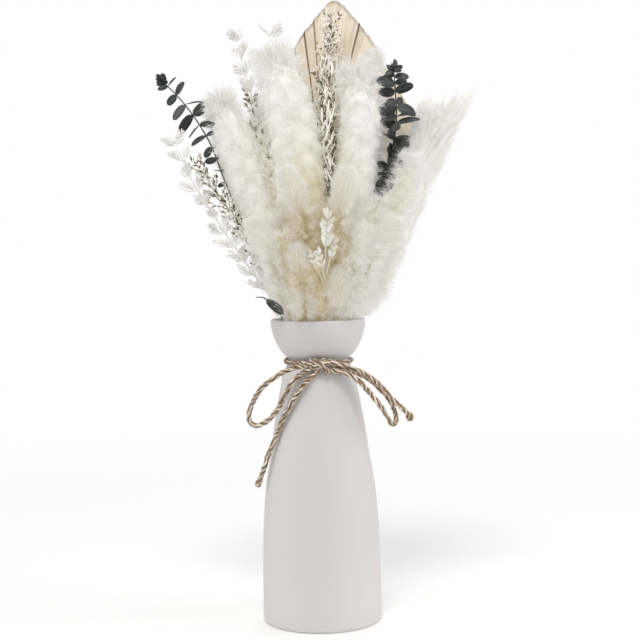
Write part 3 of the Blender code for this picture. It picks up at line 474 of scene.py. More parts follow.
def layFloor():
    # A round sheet of white paper that fades into the backdrop between the solid radius and its edge.
    reach, sides, colour = studio["floorRadius"], studio["floorSides"], studio["floorColour"]
    f = Finish("studioFloor", 0.9, Specular_IOR_Level=0.1, Emission_Strength=studio["floorGlow"])
    f.shader.inputs["Emission Color"].default_value = (1, 1, 1, 1)
    paper = f.mix(f.mottle(3), colour, [0.99 * part for part in colour])
    away = addNode(f.tree, "VectorMath", {0: f.place}, operation="LENGTH").outputs["Value"]
    fade = f.range(away, studio["floorSolid"] * mm, reach * mm, 1, 0, interpolation_type="SMOOTHSTEP")
    f.tree.links.new(fade, f.shader.inputs["Alpha"])
    mesh = bpy.data.meshes.new("floor")
    ring = layers(*circle(evenTurns(sides)).T, 0) * reach
    mesh.from_pydata((ring * mm).tolist(), [], [tuple(range(sides))])
    mesh.materials.append(f.done(paper))
    placed("floor", mesh)


layFloor()


# Twine: the free stretches come first, then the band and the knot

twine = {
    "diameter": 3, "fullness": 1.16, "pitch": 21, "columns": 30, "step": 0.4,
    "plyPlace": 0.536, "plyRadius": 0.464, "groove": 0.8,  # shares of the twine's radius
    # name: (length, far end, swelling near it, route)
    "cords": {
        "twine_loop_left": (123, "object", 0, [
            (-3.6, -25, 173.1), (-9.1, -25, 172), (-15.9, -24, 170.4), (-23, -22.5, 167.8), (-30.2, -21, 163.2),
            (-36.8, -19.5, 157.7), (-41.5, -18, 151.1), (-44.6, -17, 144.6), (-46, -17, 138.8),
            (-44.7, -17.5, 134.3), (-40.5, -18.5, 132.7), (-35.2, -19.5, 135), (-30.3, -20.5, 139.3),
            (-26, -21.5, 145.5), (-22.6, -22.5, 152), (-18.6, -23.2, 158.8), (-13.4, -23.8, 164.8),
            (-8.2, -24.2, 168.3), (-4.4, -24.2, 169.7)]),
        "twine_tail_left": (90, "bare", 0.45, [
            (-1.9, -25, 166.9), (-5.2, -25.5, 164.6), (-10, -25.8, 159.6), (-14.8, -25.6, 153),
            (-18.8, -24.6, 146.5), (-22.2, -23, 140), (-25.3, -20.6, 133.4), (-28, -18.2, 126.2),
            (-31.1, -16.2, 118.8), (-34.3, -14, 111.4), (-36.7, -12.5, 104), (-39.5, -11, 96.7),
            (-41.9, -10, 90.8)]),
        "twine_loop_right": (124, "object", 0, [
            (7.6, -22.6, 171.4), (13.7, -21.8, 170), (20.1, -20.5, 167.8), (26.6, -19, 165),
            (33.1, -17.5, 161.2), (39.5, -16.5, 155.4), (44.6, -16, 149.8), (47.1, -16.3, 145.6),
            (49, -18, 141.2), (49.7, -21, 137.1), (49, -24.5, 133.7), (46.6, -28, 133.6), (43.7, -30, 138.4),
            (39.9, -30.5, 144.3), (35.3, -30, 150.7), (30, -29, 157), (24.7, -28, 162.4), (18.7, -27, 166.2),
            (13, -26, 168.2), (7.4, -25.2, 168.9)]),
        "twine_tail_right": (67, "bare", 0.8, [
            (6.9, -25.6, 173.8), (13.7, -26, 172.7), (20, -26, 170.3), (26.4, -25.5, 167.6), (32.8, -25, 163.9),
            (39.2, -24.5, 158.3), (44.2, -24, 152.7), (48.7, -23.5, 147.7), (53.1, -23, 143.7),
            (57.6, -22.5, 139.1), (60.5, -22, 135.1)]),
    },
    "bandRadius": 21.5, "bandHeight": 172.9, "bandPoints": 340, "knotPoints": 40, "knotShare": 0.98,
    "knotStrands": [
        [(-5.6, -23.4, 175.3), (-2.4, -26.2, 174.9), (0.8, -27.9, 173.3), (3.4, -27.9, 170.6), (5.2, -26, 168.2),
         (5.4, -23.2, 167)],
        [(8.6, -23, 173.6), (6.4, -25.6, 174.3), (3.6, -26.6, 173.2), (1.4, -26.7, 171), (-0.6, -26.4, 168.6),
         (-1.8, -25.2, 166.9)],
        [(-5.4, -24, 171.9), (-2.9, -26.1, 170.9), (-0.4, -26.4, 171.8), (2.2, -25.6, 174.2), (4.2, -23.4, 175.6)],
        [(6.8, -24, 168.4), (4, -25.4, 169), (0.6, -24.8, 169.8), (-3, -23.8, 169.2)]],
    "fuzzPerMm": 9, "fuzzLength": (0.5, 2.4), "fuzzWidth": 0.055, "fuzzFoot": 0.46, "fuzzAtEnd": 0.12, "seed": 5,
}


def rope(line, radius, phase=0):
    # Three plies laid round each other. Seen along the twine, a ply is an arc about its own middle, and the
    # arcs meet in grooves no deeper than the groove share. The whole profile turns once each pitch, a little
    # unevenly, the plies swell and thin a little, and small waves round and along them stand for fibres.
    run = lengthAlong(line)[:, None]
    angle = evenTurns(twine["columns"])
    fromPly = (angle + math.pi / 3) % (2 * math.pi / 3) - math.pi / 3
    middle, size = twine["plyPlace"], twine["plyRadius"]
    ply = middle * np.cos(fromPly) + np.sqrt(np.maximum(size ** 2 - (middle * np.sin(fromPly)) ** 2, 0))
    shape = np.maximum(ply, twine["groove"])
    slack = 1.1 * np.sin(0.17 * run + phase) + 0.5 * np.sin(0.46 * run + 2 * phase)
    turn = phase + 2 * math.pi * run / twine["pitch"] + slack
    uneven = 1 + 0.05 * np.sin(0.83 * run + 3 * phase) + 0.04 * np.sin(1.9 * run + phase)
    lobe = 1 + 0.09 * np.sin(0.37 * run + 2.1 * np.floor(angle * 3 / (2 * math.pi) + 0.5) + phase)
    wisp = 1 + 0.06 * np.sin(9 * angle + 1.9 * run + phase) * np.sin(5 * angle - 1.1 * run)
    profile = circle(angle + turn) * (shape * lobe * wisp * (radius * uneven))[..., None]
    # The third look value, 0 in the grooves and 1 on the crests, carries the jute's painted shade and highlight.
    look = layers(angle / (2 * math.pi), run / 10, (shape - shape.min()) / (shape.max() - shape.min()))
    return carried(line, profile, look)


def ropeRadius():
    # Out to the plies' crests: half the twine's diameter, times its fullness.
    return twine["diameter"] / 2 * twine["fullness"]


def ropeEnds(line, bulb=0):
    # The twine's radius along it: full, rounded off over its first and last part, swollen near its end.
    run = lengthAlong(line)[:, None]
    radius = ropeRadius()
    swell = 1 + bulb * np.exp(-((run[-1] - run - 2.6) / 2.5) ** 2)
    last, first = (np.sqrt(np.clip(1 - (1 - np.clip(part / radius, 0, 1)) ** 2, least, 1))
                   for part, least in ((run[-1] - run, 0.03), (run, 0.2)))
    return radius * swell * last * first


def strands(root, tip, bow, width, look, draw):
    # Ribbon k runs from its root to its tip on a curve that bows out half-way, and narrows to a point:
    # points are root -+ across, middle -+ 0.75 across, tip. look is (count, 3) of (tone, along at the root,
    # along at the tip).
    root, tip, bow, look = (part.reshape(-1, 3) for part in (root, tip, bow, look))
    count = len(root)
    middle = (root + tip) / 2 + bow
    across = unit(np.cross(tip - root, draw.normal(size=(count, 3)))) * np.reshape(width, (-1, 1)) / 2
    points = np.stack([root - across, root + across, middle - 0.75 * across, middle + 0.75 * across, tip], axis=1)
    first = np.arange(count)[:, None] * 5
    tone, start, end = look.T[..., None]
    seen = layers(tone, start + (end - start) * np.array([0, 0, 0.5, 0.5, 1]), [0.2, 0.8, 0.2, 0.8, 0.5])
    return points.reshape(-1, 3), first + [0, 1, 3, 2], first + [2, 3, 4], seen.reshape(-1, 3)


def twineFuzz(line, draw, extra=0):
    # Loose fibres that start just under the twine's surface and stand off it, slanted along it.
    length = lengthAlong(line)[-1]
    count = int(length * twine["fuzzPerMm"])
    atEnd = int(count * extra)
    at = draw.uniform(0, length, count)
    at[:atEnd] = length - np.abs(draw.normal(0, 1.4, atEnd))
    place, way, out = offLine(line, at, draw.uniform(0, 2 * math.pi, (count, 1)))
    size = draw.uniform(*twine["fuzzLength"], (count, 1)) * draw.uniform(0.4, 1, (count, 1))
    root = place + out * twine["diameter"] * twine["fuzzFoot"]
    tip = root + unit(out * draw.uniform(0.15, 1, (count, 1)) + way * draw.normal(0, 0.9, (count, 1))) * size
    bow = draw.normal(0, 0.22, (count, 3))
    look = layers(draw.uniform(0, 1, count), draw.uniform(0, 9, count), draw.uniform(9, 12, count))
    made = strands(root, tip, bow, twine["fuzzWidth"], look, draw)
    # The fibres take the colour near a crest, with its painted highlight.
    made[3][:, 2] = 0.9
    return made


def tieTwine():
    # The free cords, each along its route, then the band, a ring round the neck, with the knot's strands.
    draw = np.random.default_rng(twine["seed"])
    fuzz = []
    for name, (length, farEnd, bulb, route) in twine["cords"].items():
        line = smoothLine(route, round(lengthAlong(np.array(route))[-1] / twine["step"]))
        cord = putMesh(name + "_plies", [rope(line, ropeEnds(line, bulb), draw.uniform(0, 6))], "jute", name)
        fuzz.append(twineFuzz(line, draw, twine["fuzzAtEnd"] if farEnd == "bare" else 0))
    angle = np.linspace(0, 2 * math.pi, twine["bandPoints"])
    line = layers(np.sin(angle), np.cos(angle), 0) * twine["bandRadius"] + (0, 0, twine["bandHeight"])
    parts = [rope(line, ropeRadius())]
    for route in twine["knotStrands"]:
        strand = smoothLine(route, twine["knotPoints"])
        parts.append(rope(strand, ropeEnds(strand) * twine["knotShare"], draw.uniform(0, 6)))
        fuzz.append(twineFuzz(strand, draw))
    fuzz.append(twineFuzz(line, draw))
    putMesh("twine_band_plies", parts, "jute", "twine_band")
    putMesh("twine_fibres", fuzz, "jute")


tieTwine()
print("twine is tied")


# Vase

vase = {
    "height": 200.7, "neck": (19.7, 172.9), "wall": 3.3, "floor": 5, "baseRounding": 2.6,
    "inRounding": 3, "lip": 0.9,
    "body": [(20.5, 170.8), (23.3, 166.4), (25.1, 157.5), (29.5, 133.7), (33, 110), (36.2, 90), (38, 70),
             (39.1, 38), (39.4, 12)],
    "cup": [(20.3, 175), (22.5, 177), (25.3, 180.6), (27.9, 185.4), (30, 191), (31.2, 197)],
    "segments": 160,
}


def arc(centre, radius, start, stop, count):
    # centre + radius * (cos, sin), from start to stop in degrees.
    return centre + radius * circle(np.radians(np.linspace(start, stop, count)))


def vaseProfile():
    # Radius and height from under the base, up the outside, over the lip and down inside to the floor.
    body = smoothLine([vase["neck"]] + vase["body"], 70)[::-1]
    cup = smoothLine([vase["neck"]] + vase["cup"], 34)
    rim, foot, lip, curve = vase["cup"][-1][0], vase["body"][-1][0], vase["lip"], vase["inRounding"]
    wall, rounding, top, floor = vase["wall"], vase["baseRounding"], vase["height"], vase["floor"]
    inner = np.concatenate([cup[::-1], body[::-1][1:]]) - (wall, 0)
    inner = inner[inner[:, 1] > floor + curve]
    end = inner[-1, 0]
    return np.concatenate([
        layers(np.linspace(2, foot - rounding - 1, 9), 0), arc((foot - rounding, rounding), rounding, -90, 0, 7),
        body, cup[1:], arc((rim - lip, top - lip), lip, 0, 90, 5),
        arc((rim - wall + lip, top - lip), lip, 90, 180, 5), inner,
        arc((end - curve, floor + curve), curve, 0, -90, 5), layers(np.linspace(end - curve - 2, 2, 6), floor)])


def turnVase():
    # The profile turned about the axis: point(i, j) = radius(i) at angle(j), height(i), poles at both ends.
    profile, count = vaseProfile(), vase["segments"]
    around = circle(evenTurns(count))
    points = layers(profile[:, :1] * around[:, 0], profile[:, :1] * around[:, 1], profile[:, 1:]).reshape(-1, 3)
    points = np.concatenate([points, [(0, 0, 0), (0, 0, vase["floor"])]])
    faces = (make(len(profile), count) for make in (gridQuads, poleTris))
    putMesh("vase_turned", [(points, *faces, np.zeros_like(points))], "ceramic", "vase")


turnVase()
print("vase is turned")


# Stems of the bouquet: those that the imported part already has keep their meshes

stems = {
    "levels": (172.9, 203), "seen": 205, "free": 215,  # heights: neck and rim, first in sight, free of the rim
    "beforeNeck": 0.86, "points": 400,
}
for name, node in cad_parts.items():
    if "_stem_" in name:
        for i in range(len(node.data.materials)):
            node.data.materials[i] = finishes["straw"]


def ringCentre(points, height, reach=1):
    # Middle of the points that lie within reach of a height.
    return points[np.abs(points[:, 2] - height) < reach].mean(axis=0)


def stemTop(node):
    # Middle of the points at the stem's upper end.
    points = nodePoints(node)
    return points[points[:, 2] > points[:, 2].max() - 0.6].mean(axis=0)


def stemLine(node, route):
    # A stem that runs from the vase's floor through its own place in the neck into its route.
    points = nodePoints(node)
    floor = ringCentre(points, points[:, 2].min(), 0.6)
    neck, rim = (ringCentre(points, height) for height in stems["levels"])
    route = [place for place in route if place[2] > stems["free"]]
    return smoothLine([floor, floor + (neck - floor) * stems["beforeNeck"], neck, rim] + route, stems["points"])


def eachStem(kind, forms, names):
    # For each stem of a kind: its name, its form, its random draws, its line, and the line's part in sight.
    for name in names:
        form = forms[name]
        line = stemLine(kind + "_" + name, form["route"])
        yield name, form, np.random.default_rng(form["seed"]), line, line[line[:, 2] > stems["seen"]]


def stemTube(line, foot, top, tone=0.5):
    # The stem itself, its radius going from foot at the rim to top at its end.
    return roundTube(line[::4], np.interp(line[::4, 2], (stems["seen"], line[-1, 2]), (foot, top)), 7, tone)


# Pampas plumes

plumes = {
    "far_left": {"route": [(-30.7, -5, 246), (-42, -5, 276), (-49.5, -4, 303), (-57, -3, 329), (-61.8, -2, 342)],
                 "reach": 15, "taper": 0.14, "branches": 880},
    "left": {"route": [(-7.8, -9, 240), (-9.5, -11, 272), (-11, -10, 302), (-15.4, -9, 331), (-20.3, -8, 352),
                       (-24.8, -6, 368)], "reach": 19.5, "taper": 0.12, "branches": 1150},
    "right": {"route": [(18.3, -9, 239), (25, -11, 272), (28.6, -11, 298), (30.2, -10, 324), (29.3, -9, 345),
                        (27.2, -8, 358)], "reach": 16.8, "taper": 0.12, "branches": 1050},
    "rear": {"route": [(23.3, 5, 239), (32, 5, 285), (36.7, 6, 325), (38.6, 7, 355), (38.6, 8, 372)],
             "reach": 11, "taper": 0.2, "branches": 600},
    "far_right": {"route": [(34.7, -4, 226), (46.5, -5, 252), (56, -4, 275), (64.8, -2, 296), (74, 0, 314),
                            (81, 1, 330), (85, 2, 339)], "reach": 14.6, "taper": 0.04, "branches": 300,
                  "spread": 0.22, "silky": (98, 0.72, 84, 0.95, 0.6, 0.5)},
}
fluff = {
    # coreTone and innerShade: the along values of the cores and of the strands at a plume's line, a painted shade
    # deep in
    "points": 120, "foot": 0.8, "lean": 46, "perBranch": 48, "strandLength": (3.5, 7.5), "strandWidth": 0.21,
    # where the core ends and its share of the reach, the same of the branches, share of the lean, wildness
    "plain": (120, 0.8, 120, 1, 1, 0.8), "coreTone": 0.79, "innerShade": 0.55, "seed": 40,
    "waves": ((1, 3, 0.35), (1, 4, -0.5), (0.7, 7, 0.9), (0.5, 0, 1.3)),  # height, times round, turns along
    # the painted shade, darker and golden: (below a height, over a height), how much, near the middle, and its
    # reach left and right of it; at the rim: (height, over, least), with a painted shade patch of (middle, most,
    # reach, highest)
    "shadeHeights": (368, 112), "shade": 0.68, "shadeLeast": 0.2, "shadeMiddle": 3, "shadeReach": (32, 22),
    "rimShade": (204, 24, 0.4), "rimShadePatch": (-3, 1.2, 17, 0.68),
    "locks": 1500, "perLock": 32, "lockLength": (18, 46), "streakWidth": 0.2, "edgeShift": 8, "edgeRound": 0.09,
    "topEdge": ((64, 79, 107), (330, 347, 354.5)), "topUneven": ((66, 88), (27, 19)), "topLocks": 0.4,
    # side tufts that close the gaps: (foot, tip, reach)
    "tufts": [
        ((-14, -12, 197), (-38, -20, 262), 9), ((-9, -19, 197), (-22, -31, 254), 9),
        ((3, -20, 197), (-3, -32, 232), 8.5), ((12, -18, 197), (21, -30, 258), 9),
        ((22, -7, 197), (43, -19, 266), 9.5), ((-14, 8, 197), (-31, 12, 240), 9),
        ((-9, 18, 197), (-14, 27, 244), 9.5), ((7, 20, 197), (11, 30, 246), 9.5),
        ((20, 11, 197), (30, 20, 242), 9.5), ((0, -6, 197), (-4, -24, 270), 11), ((2, 6, 197), (4, 12, 268), 12),
        ((-12, -6, 197), (-26, -20, 264), 10.5), ((16, 1, 197), (28, -20, 262), 11),
        ((12, -6, 197), (13, -24, 272), 9.5), ((-20, 2, 240), (-37, 3, 336), 9.5),
        ((38, 2, 238), (57, 4, 316), 9.5), ((30, -2, 205), (50, -8, 250), 10),
        ((26, -14, 226), (41, -23, 276), 8.5), ((38, -12, 226), (60, -19, 302), 10),
        ((25, -8, 202), (38, -12, 222), 8.5)],
    "tuftPoints": 60, "tuftTaper": 0.4, "tuftPerMm": 2.3, "tuftReach": 9, "tuftLean": 36, "lowWild": (0.6, 1.3),
    "tuftCore": (0.62, 0.5, 40, 20),  # share of the reach, along value (a painted shade deep in), rows and columns
    "cupInside": (202.5, 27.2),  # height and radius that the tufts keep to inside the cup
    # thin sleeves of fluff round the stems of the bunny tails in front
    "sleeves": [1, 2, 3, 4, 5, 7], "sleeveForward": -2.5, "sleeveReach": 6.5, "sleeveBranches": 90,
    "sleeveTaper": 0.3, "sleeveLean": 30, "sleeveTop": (0, -2, 3),
}


def dome(share, taper):
    # Outline of a plume: narrower at its foot, full from 0.28 on, round or drawn out over its last taper.
    foot = fluff["foot"] + (1 - fluff["foot"]) * np.clip(share / 0.28, 0, 1)
    head = np.sqrt(np.clip(1 - ((share - 1 + taper) / taper).clip(0, 1) ** 2, 0, 1))
    return foot * (0.16 + 0.84 * head)


def paintShade(surface):
    # Painted shade: lowers the look's along value, by up to shade, so that the colour goes darker and golden
    # towards the bouquet's middle and its foot. Near the rim the painted shade thins out, but for a patch in the
    # middle.
    points, look = surface[0], surface[3]
    (below, over), (rim, rise, least) = fluff["shadeHeights"], fluff["rimShade"]
    middle, most, reach, highest = fluff["rimShadePatch"]
    low = np.clip((below - points[:, 2]) / over, 0, 1)
    atRim = np.clip(least + 0.6 * (points[:, 2] - rim) / rise, least, 1)
    low *= np.maximum(atRim, np.clip(most - np.abs(points[:, 0] - middle) / reach, 0, highest))
    fromMiddle = points[:, 0] - fluff["shadeMiddle"]
    aside = np.abs(fromMiddle) / np.where(fromMiddle < 0, *fluff["shadeReach"])
    look[:, 1] -= fluff["shade"] * low * np.clip(1.45 - aside, fluff["shadeLeast"], 1)
    return surface


def fluffHead(line, reach, branches, lean, draw, wild, longer=1):
    # Branchlet b leaves the line at share t by the golden angle, at its lean from the line, and bends over:
    # p(s) = place + (way * cos lean + out * sin lean) * l * s + (0.3 * out - 0.12 * way) * l * s^2.
    # Strands stand all round each branchlet, each in the branchlet's direction plus a random one.
    # The look's second value grows with the distance from the line, from 0 deep in to 1 at the outline: a painted
    # shade, darker and golden deep in the fluff.
    each = fluff["perBranch"]
    run = lengthAlong(line)
    share = ((np.arange(branches) + draw.uniform(0, 1, branches)) / branches) ** 0.97
    here = np.interp(share * run[-1], run, reach)[:, None]
    angle = np.arange(branches) * goldenAngle + draw.normal(0, 0.25, branches)
    place, way, out = offLine(line, share * run[-1], angle[:, None])
    fade = 1 + 0.45 * np.clip((0.14 - share) / 0.14, 0, 1) - 0.6 * np.clip((share - 0.8) / 0.2, 0, 1)
    tilt = np.radians(lean * fade[:, None] * draw.uniform(0.75, 1.25, (branches, 1)))
    length = here * draw.uniform(0.6, 0.95, (branches, 1)) / (np.sin(tilt) + 0.3)
    s = 0.35 + 0.65 * draw.beta(1.3, 1, (branches, each, 1))
    start = between(way, out, tilt)[:, None]
    bend = (0.3 * out - 0.12 * way)[:, None]
    root = place[:, None] + length[:, None] * (start * s + bend * s ** 2)
    tangent = unit(start + 2 * bend * s)
    spray = unit(draw.normal(size=root.shape))
    size = draw.uniform(*fluff["strandLength"], (branches, each, 1)) * longer
    tip = root + unit(tangent * 0.7 + spray * wild + 0.3 * out[:, None]) * size

    def depthShade(points, power=1):
        # innerShade + (1 - innerShade) * depth^power, with depth the distance from the line over the reach: the
        # painted shade deep in.
        away = np.linalg.norm(points - place[:, None], axis=-1, keepdims=True)
        depth = np.clip(0.85 * away / np.minimum(here, 0.8 * here.max())[:, None], 0, 1)
        return fluff["innerShade"] + (1 - fluff["innerShade"]) * depth ** power

    tone = np.clip(draw.normal(0.5, 0.1, (branches, 1, 1)) + draw.normal(0, 0.22, s.shape), 0, 1)
    look = layers(tone, depthShade(root), depthShade(tip, 0.8))
    bow = out[:, None] * draw.normal(0, 0.5, s.shape) + way[:, None] * draw.normal(0.25, 0.4, s.shape)
    widths = fluff["strandWidth"] * draw.uniform(0.7, 1.3, branches * each)
    return paintShade(strands(root, tip, bow, widths, look, draw))


def silkHead(line, reach, draw):
    # Long strands that run with the line, gathered into locks: root = line(t) + out * reach(t) * r * 0.45 and
    # tip = line(t + l) + out * reach(t + l) * r. Each lock has its own t, l, out and r, and each strand of it
    # stands off by a little, less at its tip than at its root. The top locks run on past the line's end, or
    # stop short of it, the way that it ends, at the slanted top edge, height by x, less a drawn length.
    locks, each = fluff["locks"], fluff["perLock"]
    reach, run, endWay = np.maximum.accumulate(reach), lengthAlong(line), framesAlong(line)[0][-1:]
    t = draw.uniform(0, 1, locks) ** 0.8 * (run[-1] - 14)
    top = draw.uniform(size=locks) < fluff["topLocks"]
    t = np.where(top, run[-1] - draw.uniform(8, 34, locks), t)
    end = np.where(top, run[-1], np.minimum(t + draw.uniform(*fluff["lockLength"], locks), run[-1]))
    lower = draw.uniform(0, 1, locks) ** 1.3
    angle = draw.uniform(0, 2 * math.pi, (locks, 1))
    r = draw.uniform(0.03, 1, (locks, 1)) ** 0.4

    def at(places, share):
        # line(places) + out * reach(places) * r * share.
        place, _, out = offLine(line, places, angle)
        return place + out * np.interp(places, run, reach)[:, None] * r * share

    shape = (locks, each, 3)
    root, tip = at(t, 0.45), at(end, 1)
    edge, uneven = (np.interp(tip[:, 0] + fluff["edgeShift"], *fluff[key]) for key in ("topEdge", "topUneven"))
    highest = edge - lower * uneven - fluff["edgeRound"] * (tip[:, 1] - line[-1, 1]) ** 2
    further = np.where(top, highest - tip[:, 2], np.minimum(highest - tip[:, 2], 0)) / endWay[0, 2]
    further = np.maximum(further, 0.8 * (t - end))[:, None]
    root = root[:, None] + draw.normal(0, 0.9, shape)
    tip = (tip + further * endWay)[:, None] + draw.normal(0, 0.5, shape)
    tip = tip + (root - tip) * draw.uniform(0, 0.35, (locks, each, 1)) ** 1.5
    bow = draw.normal(0, 0.5, (locks, 1, 3)) + draw.normal(0, 0.25, shape)
    tone = np.clip(draw.normal(0.5, 0.28, (locks, 1, 1)) + draw.normal(0, 0.12, (locks, each, 1)), 0, 1)
    # Lighter further out and at the tips: a painted shade deep in the plume.
    look = layers(tone, 0.4 + 0.35 * r[:, None], 0.6 + 0.4 * r[:, None])
    widths = fluff["streakWidth"] * draw.uniform(0.6, 1.4, locks * each)
    return paintShade(strands(root, tip, bow, widths, look, draw))


def fluffCore(line, reach, draw, size, out, rows=100, columns=32):
    # A lumpy tube inside the strands: its radius is the reach times a share, times 1 plus waves that run round
    # and along it and beat against each other into soft tufts.
    run = lengthAlong(line)
    share, angle = np.linspace(0, 1, rows)[:, None], evenTurns(columns)
    radius = np.interp(np.linspace(0, run[-1], rows), run, reach)[:, None]
    wave = sum(height * np.sin(times * angle + along * run[-1] * share + phase)
               for (height, times, along), phase in zip(fluff["waves"], draw.uniform(0, 6.28, 4)))
    ends = np.sqrt(np.clip(1 - (2 * share - 1) ** 8, 0.02, 1))
    radius = radius * size * (1 + 0.024 * wave) * ends
    # The lumps that stand out are a little lighter and the dips between them a little darker: painted shade.
    look = layers(0.5, out + 0.018 * wave, 0.5)
    return paintShade(carried(readEvenly(line, rows), circle(angle) * radius[..., None], look))


def withinCup(surface):
    # Draws points below the rim in towards the axis, so that no hair passes through the cup's wall.
    points = surface[0]
    height, radius = fluff["cupInside"]
    away = np.hypot(points[:, 0], points[:, 1])
    points[:, :2] *= np.where(points[:, 2] < height, np.minimum(1, radius / np.maximum(away, 1)), 1)[:, None]
    return surface


def growPlumes():
    # A plume is a core and a head of fluff on one line, its reach times the dome. On a silky plume both stop
    # short of the tip, and long strands cover its whole length.
    share = np.linspace(0, 1, fluff["points"])
    for index, (name, plume) in enumerate(plumes.items()):
        draw = np.random.default_rng(fluff["seed"] + index)
        line = smoothLine([stemTop("plume_stem_" + name)] + plume["route"], fluff["points"])
        reach = plume["reach"] * dome(share, plume["taper"]) * (1 + plume.get("spread", 0) * share)
        silky = "silky" in plume
        coreEnd, core, headEnd, head, lean, wild = plume.get("silky", fluff["plain"])
        head, lean = head * reach[:headEnd], lean * fluff["lean"]
        parts = [fluffCore(line[:coreEnd], reach[:coreEnd], draw, core, fluff["coreTone"]),
                 fluffHead(line[:headEnd], head, plume["branches"], lean, draw, wild)]
        if silky:
            parts.append(silkHead(line, reach, draw))
        putMesh("plume_" + name + "_fluff", parts, "streak" if silky else "pampas", "plume_" + name)


def growLowFluff():
    # Short tufts between the plumes' feet, and the sleeves, all drawn from one run of random numbers.
    draw = np.random.default_rng(fluff["seed"] - 1)
    parts = {"left": [], "right": [], "rear": [], "sleeves": []}
    share = np.linspace(0, 1, fluff["tuftPoints"])
    for foot, tip, reach in fluff["tufts"]:
        foot, tip = np.array(foot, float), np.array(tip, float)
        line = smoothLine([foot, foot * 0.6 + tip * 0.4 + (0, 0, 2), tip], len(share))
        around = reach * dome(share, fluff["tuftTaper"]) * np.clip(0.6 + share, 0.6, 1)
        branches = int(fluff["tuftPerMm"] * lengthAlong(line)[-1] * reach / fluff["tuftReach"])
        parts["rear" if tip[1] > 0 else "left" if tip[0] < 0 else "right"] += [
            withinCup(fluffCore(line, around, draw, *fluff["tuftCore"])),
            withinCup(fluffHead(line, around, branches, fluff["tuftLean"], draw, *fluff["lowWild"]))]
    around = fluff["sleeveReach"] * dome(share, fluff["sleeveTaper"])
    for index in fluff["sleeves"]:
        stem = f"bunny_stem_{index}"
        top, rim = stemTop(stem), ringCentre(nodePoints(stem), stems["levels"][1])
        line = smoothLine([rim, rim * 0.5 + top * 0.5, top + fluff["sleeveTop"]], len(share))
        parts["sleeves"].append(fluffHead(line + (0, fluff["sleeveForward"], 0), around, fluff["sleeveBranches"],
                                          fluff["sleeveLean"], draw, *fluff["lowWild"]))
    for name, surfaces in parts.items():
        putMesh("low_fluff_" + name, surfaces, "low")


growPlumes()
growLowFluff()
print("plumes are grown")


# Bunny tails

bunnyTails = {
    "tips": {1: (-20.6, -34, 300.5), 2: (20.6, -34, 299.5), 3: (33.5, -33, 263.5), 4: (-14.6, -33, 252.5),
             5: (-42.5, -31, 268), 6: (17, -32.5, 236), 7: (51.5, -32, 268), 8: (-27, 36, 268), 9: (12, 40, 283),
             10: (42, 31, 257)},
    "points": 40, "reach": 8.4, "core": 0.7, "strands": 5200, "length": (4, 8), "width": 0.17, "lean": 34,
    "seed": 70,
}


def growBunnyTails():
    # Awns stand on an oval core, radius = reach * core * sqrt(1 - 0.92 (2 share^0.9 - 1)^2), leaning up the head.
    share = np.linspace(0, 1, bunnyTails["points"])
    oval = bunnyTails["reach"] * np.sqrt(1 - 0.92 * (2 * share ** 0.9 - 1) ** 2)
    count = bunnyTails["strands"]
    for index, tip in bunnyTails["tips"].items():
        draw = np.random.default_rng(bunnyTails["seed"] + index)
        foot = stemTop(f"bunny_stem_{index}")
        line = readEvenly(np.array([foot, foot + (np.array(tip) - foot) * 0.9]), len(share))
        core = fluffCore(line, oval, draw, bunnyTails["core"], 0.7)
        run = lengthAlong(line)
        t = draw.beta(1.15, 1.05, count) * run[-1]
        place, way, out = offLine(line, t, draw.uniform(0, 2 * math.pi, (count, 1)))
        here = np.interp(t, run, oval)[:, None]
        root = place + out * here * draw.uniform(0.5, 0.74, (count, 1))
        tilt = np.radians(bunnyTails["lean"] * draw.uniform(0.55, 1.35, (count, 1)))
        size = draw.uniform(*bunnyTails["length"], (count, 1)) * (0.65 + 0.35 * here / bunnyTails["reach"])
        end = root + unit(between(way, out, tilt) + draw.normal(0, 0.2, (count, 3))) * size
        # Awns run from 0.58 at the root to 1 at the tip over a core at 0.7: a painted shade, darker deep in the
        # head.
        look = layers(draw.normal(0.5, 0.22, count), 0.58, 1)
        bow = out * draw.normal(0.35, 0.25, (count, 1))
        awns = strands(root, end, bow, bunnyTails["width"] * draw.uniform(0.7, 1.3, count), look, draw)
        putMesh(f"bunny_tail_{index}_fluff", [core, awns], "bunny", f"bunny_tail_{index}")


growBunnyTails()
print("bunny tails are grown")


# Leaves and florets

def bladeForm(*numbers):
    # What blades needs of a shape, by name.
    return dict(zip(("rings", "around", "rise", "fall", "thick", "cup", "bend"), numbers))


